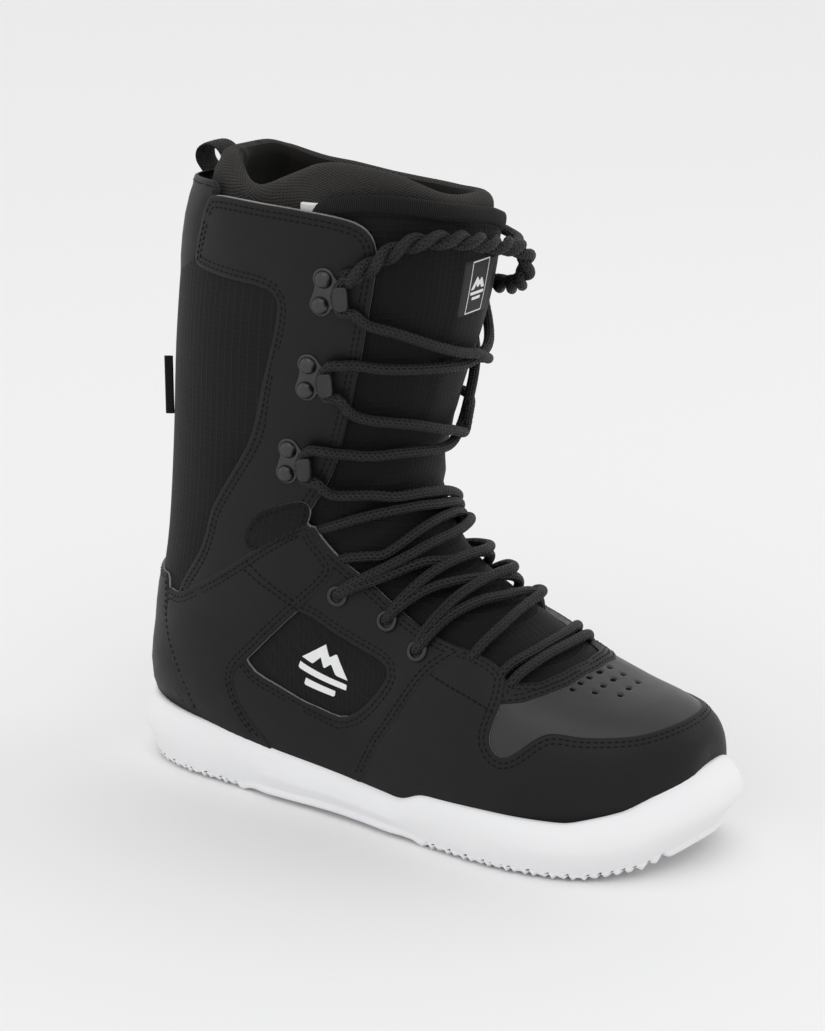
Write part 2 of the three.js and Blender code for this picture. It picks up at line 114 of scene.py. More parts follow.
def skin(t, a):
    s = station(t)
    along, across = powered(np.cos(a)), powered(np.sin(a))
    half = np.where(across < 0, s[..., 4], s[..., 5])
    x = (s[..., 0] + s[..., 2]) / 2 + (s[..., 0] - s[..., 2]) / 2 * along
    z = (s[..., 1] + s[..., 3]) / 2 + (s[..., 1] - s[..., 3]) / 2 * along
    return np.stack([x, s[..., 6] + across * half, z], -1)


def slopes(t, a, step=0.02):
    t = np.asarray(t, float)
    high, low = np.minimum(t + step, LAST), np.maximum(t - step, 0)
    up = (skin(high, a) - skin(low, a)) / (high - low)[..., None]
    return up, (skin(t, a + step) - skin(t, a - step)) / (2 * step)


def normal(t, a):
    up, around = slopes(t, a)
    n = np.cross(around, up)
    return n / np.linalg.norm(n, axis=-1, keepdims=True)


def off_skin(t, a, out):
    t, a = np.asarray(t, float), np.asarray(a, float)
    return skin(t, a) + normal(t, a) * (np.asarray(out, float) - SINK)[..., None]


def skin_at(x, z, side=-1):
    """Station and angle of the skin's point at this place in side view."""
    x, z = np.asarray(x, float), np.asarray(z, float)
    low, high = np.zeros_like(x), np.full_like(x, LAST)
    for _ in range(36):
        middle = (low + high) / 2
        s = station(middle)
        above = (s[..., 0] - s[..., 2]) * (z - s[..., 3]) - (s[..., 1] - s[..., 3]) * (x - s[..., 2]) > 0
        low, high = np.where(above, middle, low), np.where(above, high, middle)
    s = station(low)
    dx, dz = s[..., 0] - s[..., 2], s[..., 1] - s[..., 3]
    along = np.clip(((x - s[..., 2]) * dx + (z - s[..., 3]) * dz) / (dx**2 + dz**2) * 2 - 1, -1, 1)
    return low, side * np.arccos(np.sign(along) * np.abs(along) ** (SECTION_POWER / 2))


# ---------------------------------------------------------------- curves
def smooth_line(points, step, closed=False):
    """A Catmull-Rom line through the points, resampled at an even step."""
    p = np.array(points, float)
    n = len(p)
    spans = n if closed else n - 1
    fine = []
    for i in range(spans):
        a, b, c, d = (p[(i + k) % n] if closed else p[min(max(i + k, 0), n - 1)] for k in (-1, 0, 1, 2))
        for u in np.linspace(0, 1, 24, endpoint=False):
            fine.append(0.5 * (2 * b + (c - a) * u + (2 * a - 5 * b + 4 * c - d) * u**2
                               + (3 * b - a - 3 * c + d) * u**3))
    fine.append(fine[0] if closed else p[-1])
    return resampled(np.array(fine), step, closed)


def resampled(line, step, closed=False):
    lengths = np.concatenate([[0], np.cumsum(np.linalg.norm(np.diff(line, axis=0), axis=1))])
    count = max(3, round(lengths[-1] / step) + 1)
    at = np.linspace(0, lengths[-1], count)[: -1 if closed else None]
    return np.stack([np.interp(at, lengths, line[:, k]) for k in range(line.shape[1])], -1)


def rounded(points, radius):
    """A closed outline with each corner turned into a bend that starts up to a radius away from it."""
    p = np.array(points, float)
    bends = []
    for corner, before, after in zip(p, np.roll(p, 1, axis=0), np.roll(p, -1, axis=0)):
        start, end = (corner + (q - corner) * min(radius / (np.linalg.norm(q - corner) + 1e-9), 0.48)
                      for q in (before, after))
        for u in np.linspace(0, 1, 5):
            bends.append((1 - u) ** 2 * start + 2 * u * (1 - u) * corner + u * u * end)
    return np.array(bends)


# ---------------------------------------------------------------- meshes
class Build:
    """Vertices in millimetres, faces, and each face's material and corner UVs."""

    def __init__(self):
        self.verts, self.faces, self.mats, self.uvs = [], [], [], []

    def add(self, verts, faces, mat=0, uv=None):
        start = sum(len(v) for v in self.verts)
        verts = np.asarray(verts, float)
        self.verts.append(verts)
        self.uvs.append(np.zeros((len(verts), 2)) if uv is None else np.asarray(uv, float))
        self.faces += [tuple(int(start + k) for k in f) for f in faces]
        self.mats += [mat] * len(faces) if isinstance(mat, int) else list(mat)
        return start

    def make(self, name, materials, smooth=True):
        mesh = bpy.data.meshes.new(name)
        verts = np.concatenate(self.verts)
        mesh.from_pydata((verts * MM).tolist(), [], self.faces)
        uv = np.concatenate(self.uvs)
        loops = np.zeros(len(mesh.loops), np.int32)
        mesh.loops.foreach_get("vertex_index", loops)
        mesh.uv_layers.new(name="UVMap").data.foreach_set("uv", uv[loops].ravel())
        mesh.polygons.foreach_set("material_index", self.mats)
        mesh.polygons.foreach_set("use_smooth", [smooth] * len(self.faces))
        for material in materials:
            mesh.materials.append(material)
        mesh.update()
        obj = bpy.data.objects.new(name, mesh)
        bpy.context.scene.collection.objects.link(obj)
        return obj


def ring_faces(rows, columns, closed=True):
    """Quads between successive rows of points."""
    faces = []
    for i in range(rows - 1):
        for j in range(columns if closed else columns - 1):
            k = (j + 1) % columns
            faces.append((i * columns + j, i * columns + k, (i + 1) * columns + k, (i + 1) * columns + j))
    return faces


def frames_along(line):
    """Tangent, side and up vectors along a line, turning as little as they can."""
    tangent = np.gradient(line, axis=0)
    tangent /= np.linalg.norm(tangent, axis=1, keepdims=True)
    up = np.cross(tangent[0], [0.3, 0.2, 0.9])
    ups = []
    for t in tangent:
        up = up - t * (up @ t)
        up = up / np.linalg.norm(up)
        ups.append(up)
    ups = np.array(ups)
    return tangent, np.cross(tangent, ups), ups


def inside(loop, points):
    """Which points lie in a closed 2-D loop."""
    result = np.zeros(len(points), bool)
    for (x1, y1), (x2, y2) in zip(loop, np.roll(loop, -1, axis=0)):
        crosses = (y1 > points[:, 1]) != (y2 > points[:, 1])
        with np.errstate(divide="ignore", invalid="ignore"):
            at = (x2 - x1) * (points[:, 1] - y1) / (y2 - y1) + x1
        result ^= crosses & (points[:, 0] < at)
    return result


# ---------------------------------------------------------------- panels of the upper
UNIT = np.array([20.0, 52.0])      # roughly how many millimetres a station and a radian are
EDGE_RINGS = (0.5, 1.3, 2.4, 3.4, 4.6, 6.5)
HOLE_RINGS = (0.4, 1.0, 1.8)
SMALL_HOLE = 15                    # a loop of fewer points is a punched hole
EDGE_STEP = 2.4
STITCH_PITCH = 3.1
STITCH_ROWS = (2.6, 4.9)
SEAM_GAP = 1.3                     # half the gap between the two rows of an open seam


def place(point):
    """A panel's outline is written as (t, a), or as (x, z, 'view') for a place in lateral side view."""
    if len(point) == 3:
        t, a = skin_at(point[0], point[1])
        return float(t), float(a)
    return point


def mirrored(half):
    """The closed outline of a panel that crosses the front ridge or the back, from its lateral half."""
    half = [place(p) for p in half]
    across = FULL if max(abs(a) for _, a in half) > 2.6 or min(a for _, a in half) > 0 else 0
    lateral = [(t, a + across if a < 0 else a) for t, a in half]
    other = [(t, across - a) for t, a in reversed(lateral)]
    return lateral + other


def moved_in(loop, distance):
    """The loop moved into its panel along the skin. A positive distance goes inwards."""
    t, a = loop[:, 0], loop[:, 1]
    up, around = slopes(t, a)
    points = skin(t, a)
    tangent = np.roll(points, -1, axis=0) - np.roll(points, 1, axis=0)
    tangent /= np.linalg.norm(tangent, axis=1, keepdims=True) + 1e-9
    inward = np.cross(normal(t, a), tangent)
    flat = loop * UNIT
    area = np.sum(flat[:, 0] * np.roll(flat[:, 1], -1) - flat[:, 1] * np.roll(flat[:, 0], -1))
    inward *= np.sign(area) * distance * -1
    uu, uv, vv = (up * up).sum(1), (up * around).sum(1), (around * around).sum(1)
    pu, pv = (inward * up).sum(1), (inward * around).sum(1)
    det = uu * vv - uv * uv + 1e-9
    return loop + np.stack([(pu * vv - pv * uv) / det, (pv * uu - pu * uv) / det], -1)


def tree_of(points):
    tree = KDTree(len(points))
    for i, p in enumerate(points):
        tree.insert(p, i)
    tree.balance()
    return tree


def nearest(tree, points):
    return np.array([tree.find(p)[2] for p in points])


def panel_uv(ta, points, upright):
    u = ta[:, 1] * UNIT[1]
    return np.stack([u, points[:, 2] if upright else points[:, 0]], -1) * 0.1


def panel(name, outline, height, thickness, materials, holes=(), puff=0.5, cell=4.5, rows=STITCH_ROWS,
          stitch_where=None, upright=False, relief=None, corner=4.0, skirt=1.6, seams=()):
    """A leather or textile panel on the skin, with a rounded rim, a raw edge and rows of stitches.

    materials are those of the face, the cut edge and the thread."""
    loops = [resampled_loop(o, corner) for o in (outline, *holes)]
    if polygon_area(loops[0]) < 0:
        loops[0] = loops[0][::-1]
    loops[1:] = [h if polygon_area(h) > 0 else h[::-1] for h in loops[1:]]
    rings = [loops[0]] + loops[1:]
    edge_points = [skin(l[:, 0], l[:, 1]) for l in rings]
    edge_tree = tree_of(np.concatenate(edge_points))

    def contains(flat):
        keep = inside(loops[0] * UNIT, flat)
        for hole in loops[1:]:
            keep &= ~inside(hole * UNIT, flat)
        return keep

    extra = []
    for k, loop in enumerate(rings):
        for distance in EDGE_RINGS if len(loop) > SMALL_HOLE else HOLE_RINGS:
            shifted = moved_in(loop, distance if k == 0 else -distance)
            ok = contains(shifted * UNIT)
            ok &= nearest(edge_tree, skin(shifted[:, 0], shifted[:, 1])) > distance * 0.8
            extra.append(shifted[ok])
    low, high = (loops[0] * UNIT).min(0), (loops[0] * UNIT).max(0)
    gx, gy = np.meshgrid(np.arange(low[0], high[0], cell), np.arange(low[1], high[1], cell))
    grid = np.stack([gx.ravel(), gy.ravel()], -1)
    grid = grid[contains(grid)] / UNIT
    grid = grid[nearest(edge_tree, skin(grid[:, 0], grid[:, 1])) > EDGE_RINGS[-1] + 1.5]
    points = np.concatenate([*rings, *extra, grid])
    edges, start = [], 0
    for loop in rings:
        edges += [(start + i, start + (i + 1) % len(loop)) for i in range(len(loop))]
        start += len(loop)
    made = geometry.delaunay_2d_cdt([Vector(p) for p in points * UNIT], edges, [], 0, 1e-4)
    ta = np.array([list(v) for v in made[0]]) / UNIT
    faces = np.array([list(f) for f in made[2]])
    centres = (ta[faces].mean(1)) * UNIT
    faces = faces[contains(centres)]

    def surface(where):
        distance = nearest(edge_tree, skin(where[:, 0], where[:, 1]))
        rim = np.clip(distance / 1.3, 0, 1)
        out = height + thickness * (0.45 + 0.55 * np.sqrt(1 - (1 - rim) ** 2))
        out = out + puff * (1 - np.exp(-np.maximum(distance - 5.5, 0) / 7))
        if rows:
            for row in rows:
                out = out - 0.16 * np.exp(-((distance - row) / 0.7) ** 2)
        if relief is not None:
            out = out + relief(where, skin(where[:, 0], where[:, 1]))
        return out

    verts = off_skin(ta[:, 0], ta[:, 1], surface(ta))
    tri = verts[faces]
    face_normals = np.cross(tri[:, 1] - tri[:, 0], tri[:, 2] - tri[:, 0])
    mean = ta[faces].mean(1)
    flipped = (face_normals * normal(mean[:, 0], mean[:, 1])).sum(1) < 0
    faces[flipped] = faces[flipped][:, ::-1]
    build = Build()
    build.add(verts, faces, 0, panel_uv(ta, skin(ta[:, 0], ta[:, 1]), upright))
    for k, loop in enumerate(rings):
        top = off_skin(loop[:, 0], loop[:, 1], surface(loop))
        foot = off_skin(loop[:, 0], loop[:, 1], height - skirt + 0 * loop[:, 0])
        walls = np.array(ring_faces(2, len(loop)))
        if k:
            walls = walls[:, ::-1]
        build.add(np.concatenate([top, foot]), walls[:, ::-1], 1)
    for k, loop in enumerate(rings):
        for row in rows if len(loop) > SMALL_HOLE else ():
            stitch_row(build, moved_in(loop, row if k == 0 else -row), surface, edge_tree, row, stitch_where)
    for seam in seams:
        line = resampled(np.array([place(p) for p in seam]) * UNIT, 1.5) / UNIT
        for shift in (-SEAM_GAP, SEAM_GAP):
            stitch_row(build, line + [shift / UNIT[0], 0], surface, edge_tree, 0.5, stitch_where)
    return build.make(name, materials)


def polygon_area(loop):
    flat = loop * UNIT
    return np.sum(flat[:, 0] * np.roll(flat[:, 1], -1) - flat[:, 1] * np.roll(flat[:, 0], -1)) / 2


def resampled_loop(outline, radius):
    loop = rounded(np.array([place(p) for p in outline]) * UNIT, radius)
    loop = np.concatenate([loop, loop[:1]])
    length = np.linalg.norm(np.diff(loop, axis=0), axis=1).sum()
    return resampled(loop, min(EDGE_STEP, length / 12), closed=True) / UNIT


STITCH = np.array([[-1, 0, 0], [-0.6, 0, 1], [-0.6, 1, 0], [-0.6, -1, 0], [0.6, 0, 1], [0.6, 1, 0],
    [0.6, -1, 0], [1, 0, 0]])
STITCH_FACES = [(0, 2, 1), (0, 1, 3), (1, 2, 5, 4), (3, 1, 4, 6), (7, 4, 5), (7, 6, 4)]
STITCH_SIZE = np.array([1.15, 0.34, 0.42])


def stitch_row(build, loop, surface, tree, distance, where):
    """Stitches along a loop or a line of (t, a), an even pitch apart."""
    line = skin(loop[:, 0], loop[:, 1])
    ok = nearest(tree, line) > distance * 0.86
    if where is not None:
        ok &= where(loop, line)
    lengths = np.concatenate([[0], np.cumsum(np.linalg.norm(np.diff(line, axis=0), axis=1))])
    at = np.arange(STITCH_PITCH / 2, lengths[-1], STITCH_PITCH)
    t, a = np.interp(at, lengths, loop[:, 0]), np.interp(at, lengths, loop[:, 1])
    good = np.interp(at, lengths, ok.astype(float)) > 0.99
    ahead = np.stack([np.interp(at + 0.5, lengths, line[:, k]) - np.interp(at - 0.5, lengths, line[:, k])
                      for k in range(3)], -1)
    t, a, ahead = t[good], a[good], ahead[good]
    if not len(t):
        return
    centre = off_skin(t, a, surface(np.stack([t, a], -1)) + 0.02)
    up = normal(t, a)
    ahead /= np.linalg.norm(ahead, axis=1, keepdims=True) + 1e-9
    side = np.cross(up, ahead)
    local = STITCH * STITCH_SIZE
    verts = (centre[:, None] + local[None, :, :1] * ahead[:, None] + local[None, :, 1:2] * side[:, None]
             + local[None, :, 2:] * up[:, None])
    faces = [tuple(8 * i + k for k in f) for i in range(len(t)) for f in STITCH_FACES]
    build.add(verts.reshape(-1, 3), faces, 2)


def above_sole(loop, line, margin=2.0):
    tops = np.interp(line[:, 0], [p[0] for p in SOLE_TOP], [p[1] for p in SOLE_TOP])
    return line[:, 2] > tops + margin


def behind_toe_tip(loop, line):
    return above_sole(loop, line) & (loop[:, 0] > 1.3)


# ---------------------------------------------------------------- materials
STRANDS_ROUND = 6                  # the lace's strands, each way round it
STRAND_PITCH = 2.6


class Nodes:
    """A short way to write a material's node tree."""

    def __init__(self, name):
        self.material = bpy.data.materials.new(name)
        self.material.use_nodes = True
        self.tree = self.material.node_tree
        self.shader = self.tree.nodes["Principled BSDF"]

    def node(self, kind, settings=None, **inputs):
        node = self.tree.nodes.new(kind)
        for key, value in (settings or {}).items():
            setattr(node, key, value)
        for key, value in inputs.items():
            numbered = key[0] == "i" and key[1:].isdigit()
            self.feed(node.inputs[int(key[1:]) if numbered else key], value)
        return node

    def feed(self, socket, value):
        if isinstance(value, bpy.types.NodeSocket):
            self.tree.links.new(value, socket)
        else:
            socket.default_value = value

    def math(self, operation, a, b=0.0):
        return self.node("ShaderNodeMath", {"operation": operation}, i0=a, i1=b).outputs[0]

    def set(self, **values):
        for key, value in values.items():
            self.feed(self.shader.inputs[key.replace("_", " ")], value)

    def noise(self, vector, scale, detail=3.0):
        return self.node("ShaderNodeTexNoise", None, Vector=vector, Scale=scale, Detail=detail).outputs[0]

    def ramp(self, value, low, high):
        ramp = self.node("ShaderNodeValToRGB", None, Fac=value)
        ramp.color_ramp.elements[0].color = (*low, 1)
        ramp.color_ramp.elements[1].color = (*high, 1)
        return ramp.outputs[0]

    def bump(self, height, strength, distance):
        bump = self.node("ShaderNodeBump", None, Height=height, Strength=strength, Distance=distance)
        return bump.outputs[0]

    def uv(self):
        split = self.node("ShaderNodeSeparateXYZ", None, Vector=self.node("ShaderNodeTexCoord").outputs["UV"])
        return split.outputs[0], split.outputs[1]

    def place(self):
        return self.node("ShaderNodeTexCoord").outputs["Object"]


def grey(value, warm=0.0):
    return (value * (1 + warm), value, value * (1 - warm))


def scaled(colour, factor):
    return tuple(c * factor for c in colour)


def leather(name, colour, roughness, gloss, grain=900.0, depth=0.00012):
    n = Nodes(name)
    where = n.place()
    cells = n.node("ShaderNodeTexVoronoi", {"feature": "DISTANCE_TO_EDGE"}, Vector=where,
        Scale=grain).outputs[0]
    pores = n.math("MULTIPLY", n.math("MINIMUM", cells, 0.25), 2.0)
    height = n.math("ADD", pores, n.math("MULTIPLY", n.noise(where, 60.0), 1.5))
    n.set(Base_Color=n.ramp(n.noise(where, 25.0, 4.0), scaled(colour, 0.8), scaled(colour, 1.25)))
    n.set(Roughness=n.math("ADD", n.math("MULTIPLY", n.noise(where, 90.0), 0.16), roughness - 0.08))
    n.set(Normal=n.bump(height, 0.35, depth), Specular_IOR_Level=gloss)
    return n.material


# An edge colour with a noisy tone: one dark, and one light grey that is a painted highlight along the panel
# edges.
def edge_tone_and_highlight(name, colour):
    n = Nodes(name)
    where = n.place()
    n.set(Base_Color=n.ramp(n.noise(where, 350.0), scaled(colour, 0.35), scaled(colour, 1.3)), Roughness=0.8)
    n.set(Normal=n.bump(n.noise(where, 2500.0), 0.4, 0.0002))
    return n.material


def thread(name, colour):
    n = Nodes(name)
    where = n.place()
    n.set(Base_Color=n.ramp(n.noise(where, 500.0), scaled(colour, 0.6), scaled(colour, 1.5)), Roughness=0.55)
    n.set(Normal=n.bump(n.noise(where, 3000.0), 0.5, 0.0002))
    n.set(Specular_IOR_Level=0.12)
    return n.material


def ripples(n, value, pitch):
    """A wave of 0 to 1 that repeats every pitch."""
    wave = n.math("SINE", n.math("MULTIPLY", value, FULL / pitch))
    return n.math("ADD", n.math("MULTIPLY", wave, 0.5), 0.5)


def ripstop(name, colour):
    """A fine plain weave with a thicker thread every few millimetres both ways."""
    n = Nodes(name)
    u, v = n.uv()
    weave = n.math("MULTIPLY", ripples(n, u, 0.075), ripples(n, v, 0.075))
    ribs = n.math("MAXIMUM", n.math("POWER", ripples(n, u, 0.27), 12.0),
        n.math("POWER", ripples(n, v, 0.27), 12.0))
    height = n.math("ADD", n.math("MULTIPLY", weave, 0.45), ribs)
    cloud = n.noise(n.place(), 30.0)
    broken = n.math("MULTIPLY", ribs, n.noise(n.place(), 900.0))
    lift = n.math("ADD", n.math("MULTIPLY", broken, 0.5), n.math("MULTIPLY", cloud, 0.5))
    n.set(Base_Color=n.ramp(lift, scaled(colour, 0.7), scaled(colour, 2.4)), Roughness=0.62)
    n.set(Normal=n.bump(height, 0.7, 0.00025), Sheen_Weight=0.02, Sheen_Roughness=0.5)
    n.set(Specular_IOR_Level=0.12)
    return n.material


def knit(name, colour):
    """Spacer mesh: staggered cells."""
    n = Nodes(name)
    u, v = n.uv()
    cells = n.math("ADD", ripples(n, n.math("ADD", u, v), 0.15), ripples(n, n.math("SUBTRACT", u, v), 0.15))
    holes = n.math("POWER", n.math("MULTIPLY", cells, 0.5), 2.5)
    fuzz = n.noise(n.place(), 1500.0)
    n.set(Base_Color=n.ramp(n.math("SUBTRACT", 1.0, holes), scaled(colour, 0.55), scaled(colour, 1.7)),
        Roughness=0.92)
    n.set(Normal=n.bump(n.math("SUBTRACT", n.math("MULTIPLY", fuzz, 0.3), holes), 1.0, 0.0009))
    n.set(Sheen_Weight=0.04, Sheen_Roughness=0.6)
    n.set(Specular_IOR_Level=0.12)
    return n.material


def velvet(name, colour):
    n = Nodes(name)
    where = n.place()
    n.set(Base_Color=n.ramp(n.noise(where, 40.0, 5.0), scaled(colour, 0.7), scaled(colour, 1.4)),
        Roughness=0.95)
    n.set(Normal=n.bump(n.noise(where, 1800.0), 0.5, 0.0004), Sheen_Weight=0.06, Sheen_Roughness=0.4)
    n.set(Specular_IOR_Level=0.12)
    return n.material


def ribbed(name, colour, pitch, slant=0.0):
    """Grosgrain or webbing: ribs across, or a herringbone where the ribs slant."""
    n = Nodes(name)
    u, v = n.uv()
    bend = n.math("MULTIPLY", n.math("PINGPONG", v, 0.35), slant)
    ribs = ripples(n, n.math("ADD", u, bend), pitch)
    n.set(Base_Color=n.ramp(ribs, scaled(colour, 0.5), scaled(colour, 1.8)), Roughness=0.7)
    n.set(Normal=n.bump(ribs, 0.9, 0.0005), Sheen_Weight=0.03)
    n.set(Specular_IOR_Level=0.12)
    return n.material


def braid(name, colour):
    """Round braided cord: two sets of strands that cross round it."""
    n = Nodes(name)
    u, v = n.uv()
    strands, turns = n.math("DIVIDE", u, STRAND_PITCH * 0.1), n.math("MULTIPLY", v, STRANDS_ROUND)
    left = ripples(n, n.math("ADD", strands, turns), 1.0)
    right = ripples(n, n.math("SUBTRACT", strands, turns), 1.0)
    over = n.math("MAXIMUM", n.math("POWER", left, 0.7), n.math("POWER", right, 0.7))
    both = n.math("MULTIPLY", left, right)
    height = n.math("SUBTRACT", over, n.math("MULTIPLY", both, 0.6))
    # The strand crowns are painted eight times lighter than the grooves: a painted highlight along the
    # crossing strands.
    n.set(Base_Color=n.ramp(n.math("POWER", over, 2.0), scaled(colour, 0.3), scaled(colour, 2.4)),
        Roughness=0.5)
    n.set(Normal=n.bump(height, 0.9, 0.0008), Sheen_Weight=0.02)
    n.set(Specular_IOR_Level=0.3)
    return n.material


def rubber(name, colour):
    n = Nodes(name)
    where = n.place()
    n.set(Base_Color=n.ramp(n.noise(where, 18.0, 4.0), scaled(colour, 0.97), scaled(colour, 1.02)))
    n.set(Roughness=n.math("ADD", n.math("MULTIPLY", n.noise(where, 120.0), 0.12), 0.5))
    n.set(Normal=n.bump(n.noise(where, 700.0), 0.15, 0.0001), Subsurface_Weight=0.08)
    return n.material


def metal(name, colour, roughness):
    n = Nodes(name)
    where = n.place()
    n.set(Base_Color=n.ramp(n.noise(where, 200.0), scaled(colour, 0.8), scaled(colour, 1.2)), Metallic=0.85)
    n.set(Roughness=n.math("ADD", n.math("MULTIPLY", n.noise(where, 400.0), 0.15), roughness))
    n.set(Normal=n.bump(n.noise(where, 1200.0), 0.12, 0.0001))
    return n.material


def printed(name, colour, roughness=0.5):
    n = Nodes(name)
    where = n.place()
    n.set(Base_Color=n.ramp(n.noise(where, 300.0), scaled(colour, 0.92), scaled(colour, 1.04)),
        Roughness=roughness)
    n.set(Normal=n.bump(n.noise(where, 1600.0), 0.2, 0.0001))
    return n.material


LEATHER = leather("leather", grey(0.0060), 0.50, 0.22)
VAMP_LEATHER = leather("vamp_leather", grey(0.0155), 0.40, 0.46, grain=1300.0)
# The cut edges of the leather panels and the ankle patch are light grey: a painted highlight along the panel
# edges.
HIGHLIT_EDGE = edge_tone_and_highlight("cut_edge_highlight", grey(0.27))
DARK_EDGE = edge_tone_and_highlight("dark_edge", grey(0.02))
THREAD = thread("thread", grey(0.003))
RIPSTOP = ripstop("ripstop", grey(0.0058))
TONGUE_CLOTH = ripstop("tongue_cloth", grey(0.0042, 0.04))
KNIT = knit("knit", grey(0.024, 0.06))
VELVET = velvet("velvet", grey(0.008, 0.08))
GROSGRAIN = ribbed("grosgrain", grey(0.009), 0.09)
WEBBING = ribbed("webbing", grey(0.018, 0.05), 0.16, slant=0.8)
BRAID = braid("braid", grey(0.005))
RUBBER = rubber("rubber", (0.86, 0.845, 0.855))
GUNMETAL = metal("gunmetal", grey(0.06), 0.27)
DARK_METAL = metal("dark_metal", grey(0.045), 0.22)
WHITE = printed("white_print", (0.80, 0.81, 0.80))
# Black print for the tongue label, also used as the painted shade that fills the eyelet holes.
BLACK_PRINT_AND_HOLE_SHADE = printed("black_print_and_hole_shade", grey(0.012), 0.7)
BOARD = printed("board", (0.35, 0.32, 0.26), 0.9)
UPPER = (LEATHER, HIGHLIT_EDGE, THREAD)


def bends(obj, slot, *nodes):
    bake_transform(obj)
    if nodes:
        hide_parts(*nodes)
    return obj


def rides(obj, body, slot, *nodes):
    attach(obj, body)
    if nodes:
        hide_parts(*nodes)
    return obj


# ---------------------------------------------------------------- the upper
SIDES = {"lateral": -1, "medial": 1}


def flipped(outline, side):
    return [(t, side * a) for t, a in (place(p) for p in outline)]


def bottom_edge(*xs, depth=5.0):
    tops = np.interp(xs, [p[0] for p in SOLE_TOP], [p[1] for p in SOLE_TOP]) - depth
    return [(x, z, "view") for x, z in zip(xs, tops)]


VAMP_HALF = [
    (1.7, 0.0), (1.8, -0.35), (2.3, -0.75), (3.2, -0.9), (4.2, -1.0), (4.6, -1.15), (5.0, -1.36),
    (5.5, -1.36),
    (5.85, -1.2), (5.8, -0.9), (5.75, -0.66), (5.4, -0.62), (5.02, -0.5), (4.8, -0.25), (4.72, 0.0),
]
FOXING_HALF = [
    (2.06, 0.0), (2.1, -0.18), (2.23, -0.35), (2.42, -0.5), (2.69, -0.63), (3.0, -0.72), (3.4, -0.79),
    (3.85, -0.85),
    (4.19, -0.87), (4.44, -0.91), (4.63, -1.01), (4.9, -1.18), (5.12, -1.27), (5.36, -1.27), (5.52, -1.2),
    (5.53, -1.1), (5.47, -0.88), (5.52, -0.72), (5.62, -0.62), (5.95, -0.60), (6.4, -0.64), (6.95, -0.72),
    (7.4, -1.03), (7.8, -1.44), (8.0, -1.6), *bottom_edge(-12, 10, 24, 33, 50, 67, 86, 109, 134, 143),
    (0.7, -1.9), (0.3, -2.1), (0.02, -2.2), (0.02, 0.0),
]
THROAT_BAND_HALF = [
    (4.76, 0.0), (4.84, -0.25), (5.04, -0.48), (5.35, -0.6), (5.7, -0.68), (5.5, -0.88), (5.1, -0.74),
    (4.8, -0.56),
    (4.55, -0.34), (4.46, 0.0),
]
QUARTER = [
    (6.45, -0.66), (6.8, -0.70), (7.1, -0.74), (7.7, -0.79), (8.6, -0.84), (8.97, -0.88), (9.48, -0.97),
    (10.14, -1.08), (10.45, -1.14), (10.45, -1.34), (10.0, -1.45), (9.9, -1.75), (9.7, -1.95),
    *bottom_edge(-62, -40, -20, -6), (7.64, -1.59), (7.44, -1.44), (7.06, -1.03), (6.62, -0.76),
]
WINDOW = [
    (9.53, -1.69), (9.09, -1.60), (8.49, -1.56), (8.2, -1.545), (7.98, -1.45), (7.75, -1.22), (7.81, -1.14),
    (8.42, -1.19), (9.0, -1.25), (9.34, -1.30), (9.7, -1.42), (9.75, -1.6),
]
WINDOW_CLOTH = [
    (9.8, -1.75), (9.09, -1.67), (8.3, -1.64), (7.75, -1.5), (7.5, -1.15), (7.8, -1.06), (8.6, -1.13),
    (9.5, -1.2), (9.85, -1.4),
]
WING = [
    (10.82, -1.82), (10.77, -1.64), (10.74, -1.47), (10.66, -1.3), (10.53, -1.17), (10.15, -1.11),
    (9.78, -1.04),
    (9.5, -1.02), (9.39, -1.07), (9.42, -1.2), (9.48, -1.36), (9.56, -1.66), (9.57, -1.77), (9.39, -1.83),
    (9.19, -1.86), (8.97, -1.86), *bottom_edge(-52, -70, -97, -112), (10.2, -2.3), (11.0, -2.4),
    (11.15, -2.3),
    (10.94, -2.13),
]
WING_SEAM = [(-70, 114, "view"), (-56, 107, "view"), (-42, 100, "view")]
COUNTER_HALF = [
    (11.72, -math.pi), (11.6, -2.75), (11.3, -2.29), (10.87, -2.26), (10.16, -2.08), (9.8, -2.09),
    *bottom_edge(-97, -115, -130), (9.97, -math.pi),
]
SHAFT = [
    (15.86, -2.04), (15.9, -1.93), (15.89, -1.74), (15.84, -1.47), (15.77, -1.23), (15.67, -1.06),
    (15.48, -0.965),
    (15.23, -0.93), (14.92, -0.93), (14.17, -0.95), (13.36, -0.97), (12.59, -0.99), (11.64, -1.03),
    (11.30, -1.04),
    (10.99, -1.09), (10.7, -1.2), (10.4, -1.25), (10.3, -1.5), (10.45, -1.9), (10.7, -2.2), (11.0, -2.15),
    (11.3, -1.93), (11.57, -1.89), (11.84, -1.88), (12.03, -1.81), (12.20, -1.74), (12.47, -1.64),
    (12.76, -1.60),
    (13.46, -1.57), (14.17, -1.53), (14.6, -1.52), (14.8, -1.58), (14.9, -1.8), (15.06, -2.19),
]
BACK_HALF = [
    (15.35, -math.pi), (15.3, -2.3), (15.12, -1.85), (14.95, -1.48), (14.6, -1.42), (13.4, -1.46),
    (12.6, -1.5),
    (12.2, -1.62), (11.6, -1.78), (10.9, -1.8), (10.4, -2.1), (10.9, -2.6), (11.3, -math.pi),
]
COLLAR = [
    (16.05, -2.13), (16.02, -2.02), (15.45, -2.04), (15.01, -2.08), (14.7, -2.2), (14.5, -2.5),
    (14.4, -math.pi),
    (14.4, -3.8), (14.6, -4.1), (15.0, -4.2), (15.45, -4.24), (15.5, -4.16), (15.7, -3.6),
    (15.92, -math.pi), (16.0, -2.6),
]
ANKLE_PATCH = [(11.38, -1.57), (11.04, -1.25), (10.7, -1.16), (10.3, -1.2), (10.6, -1.5), (10.95, -1.6)]
MEDIAL_DROP = 0.95


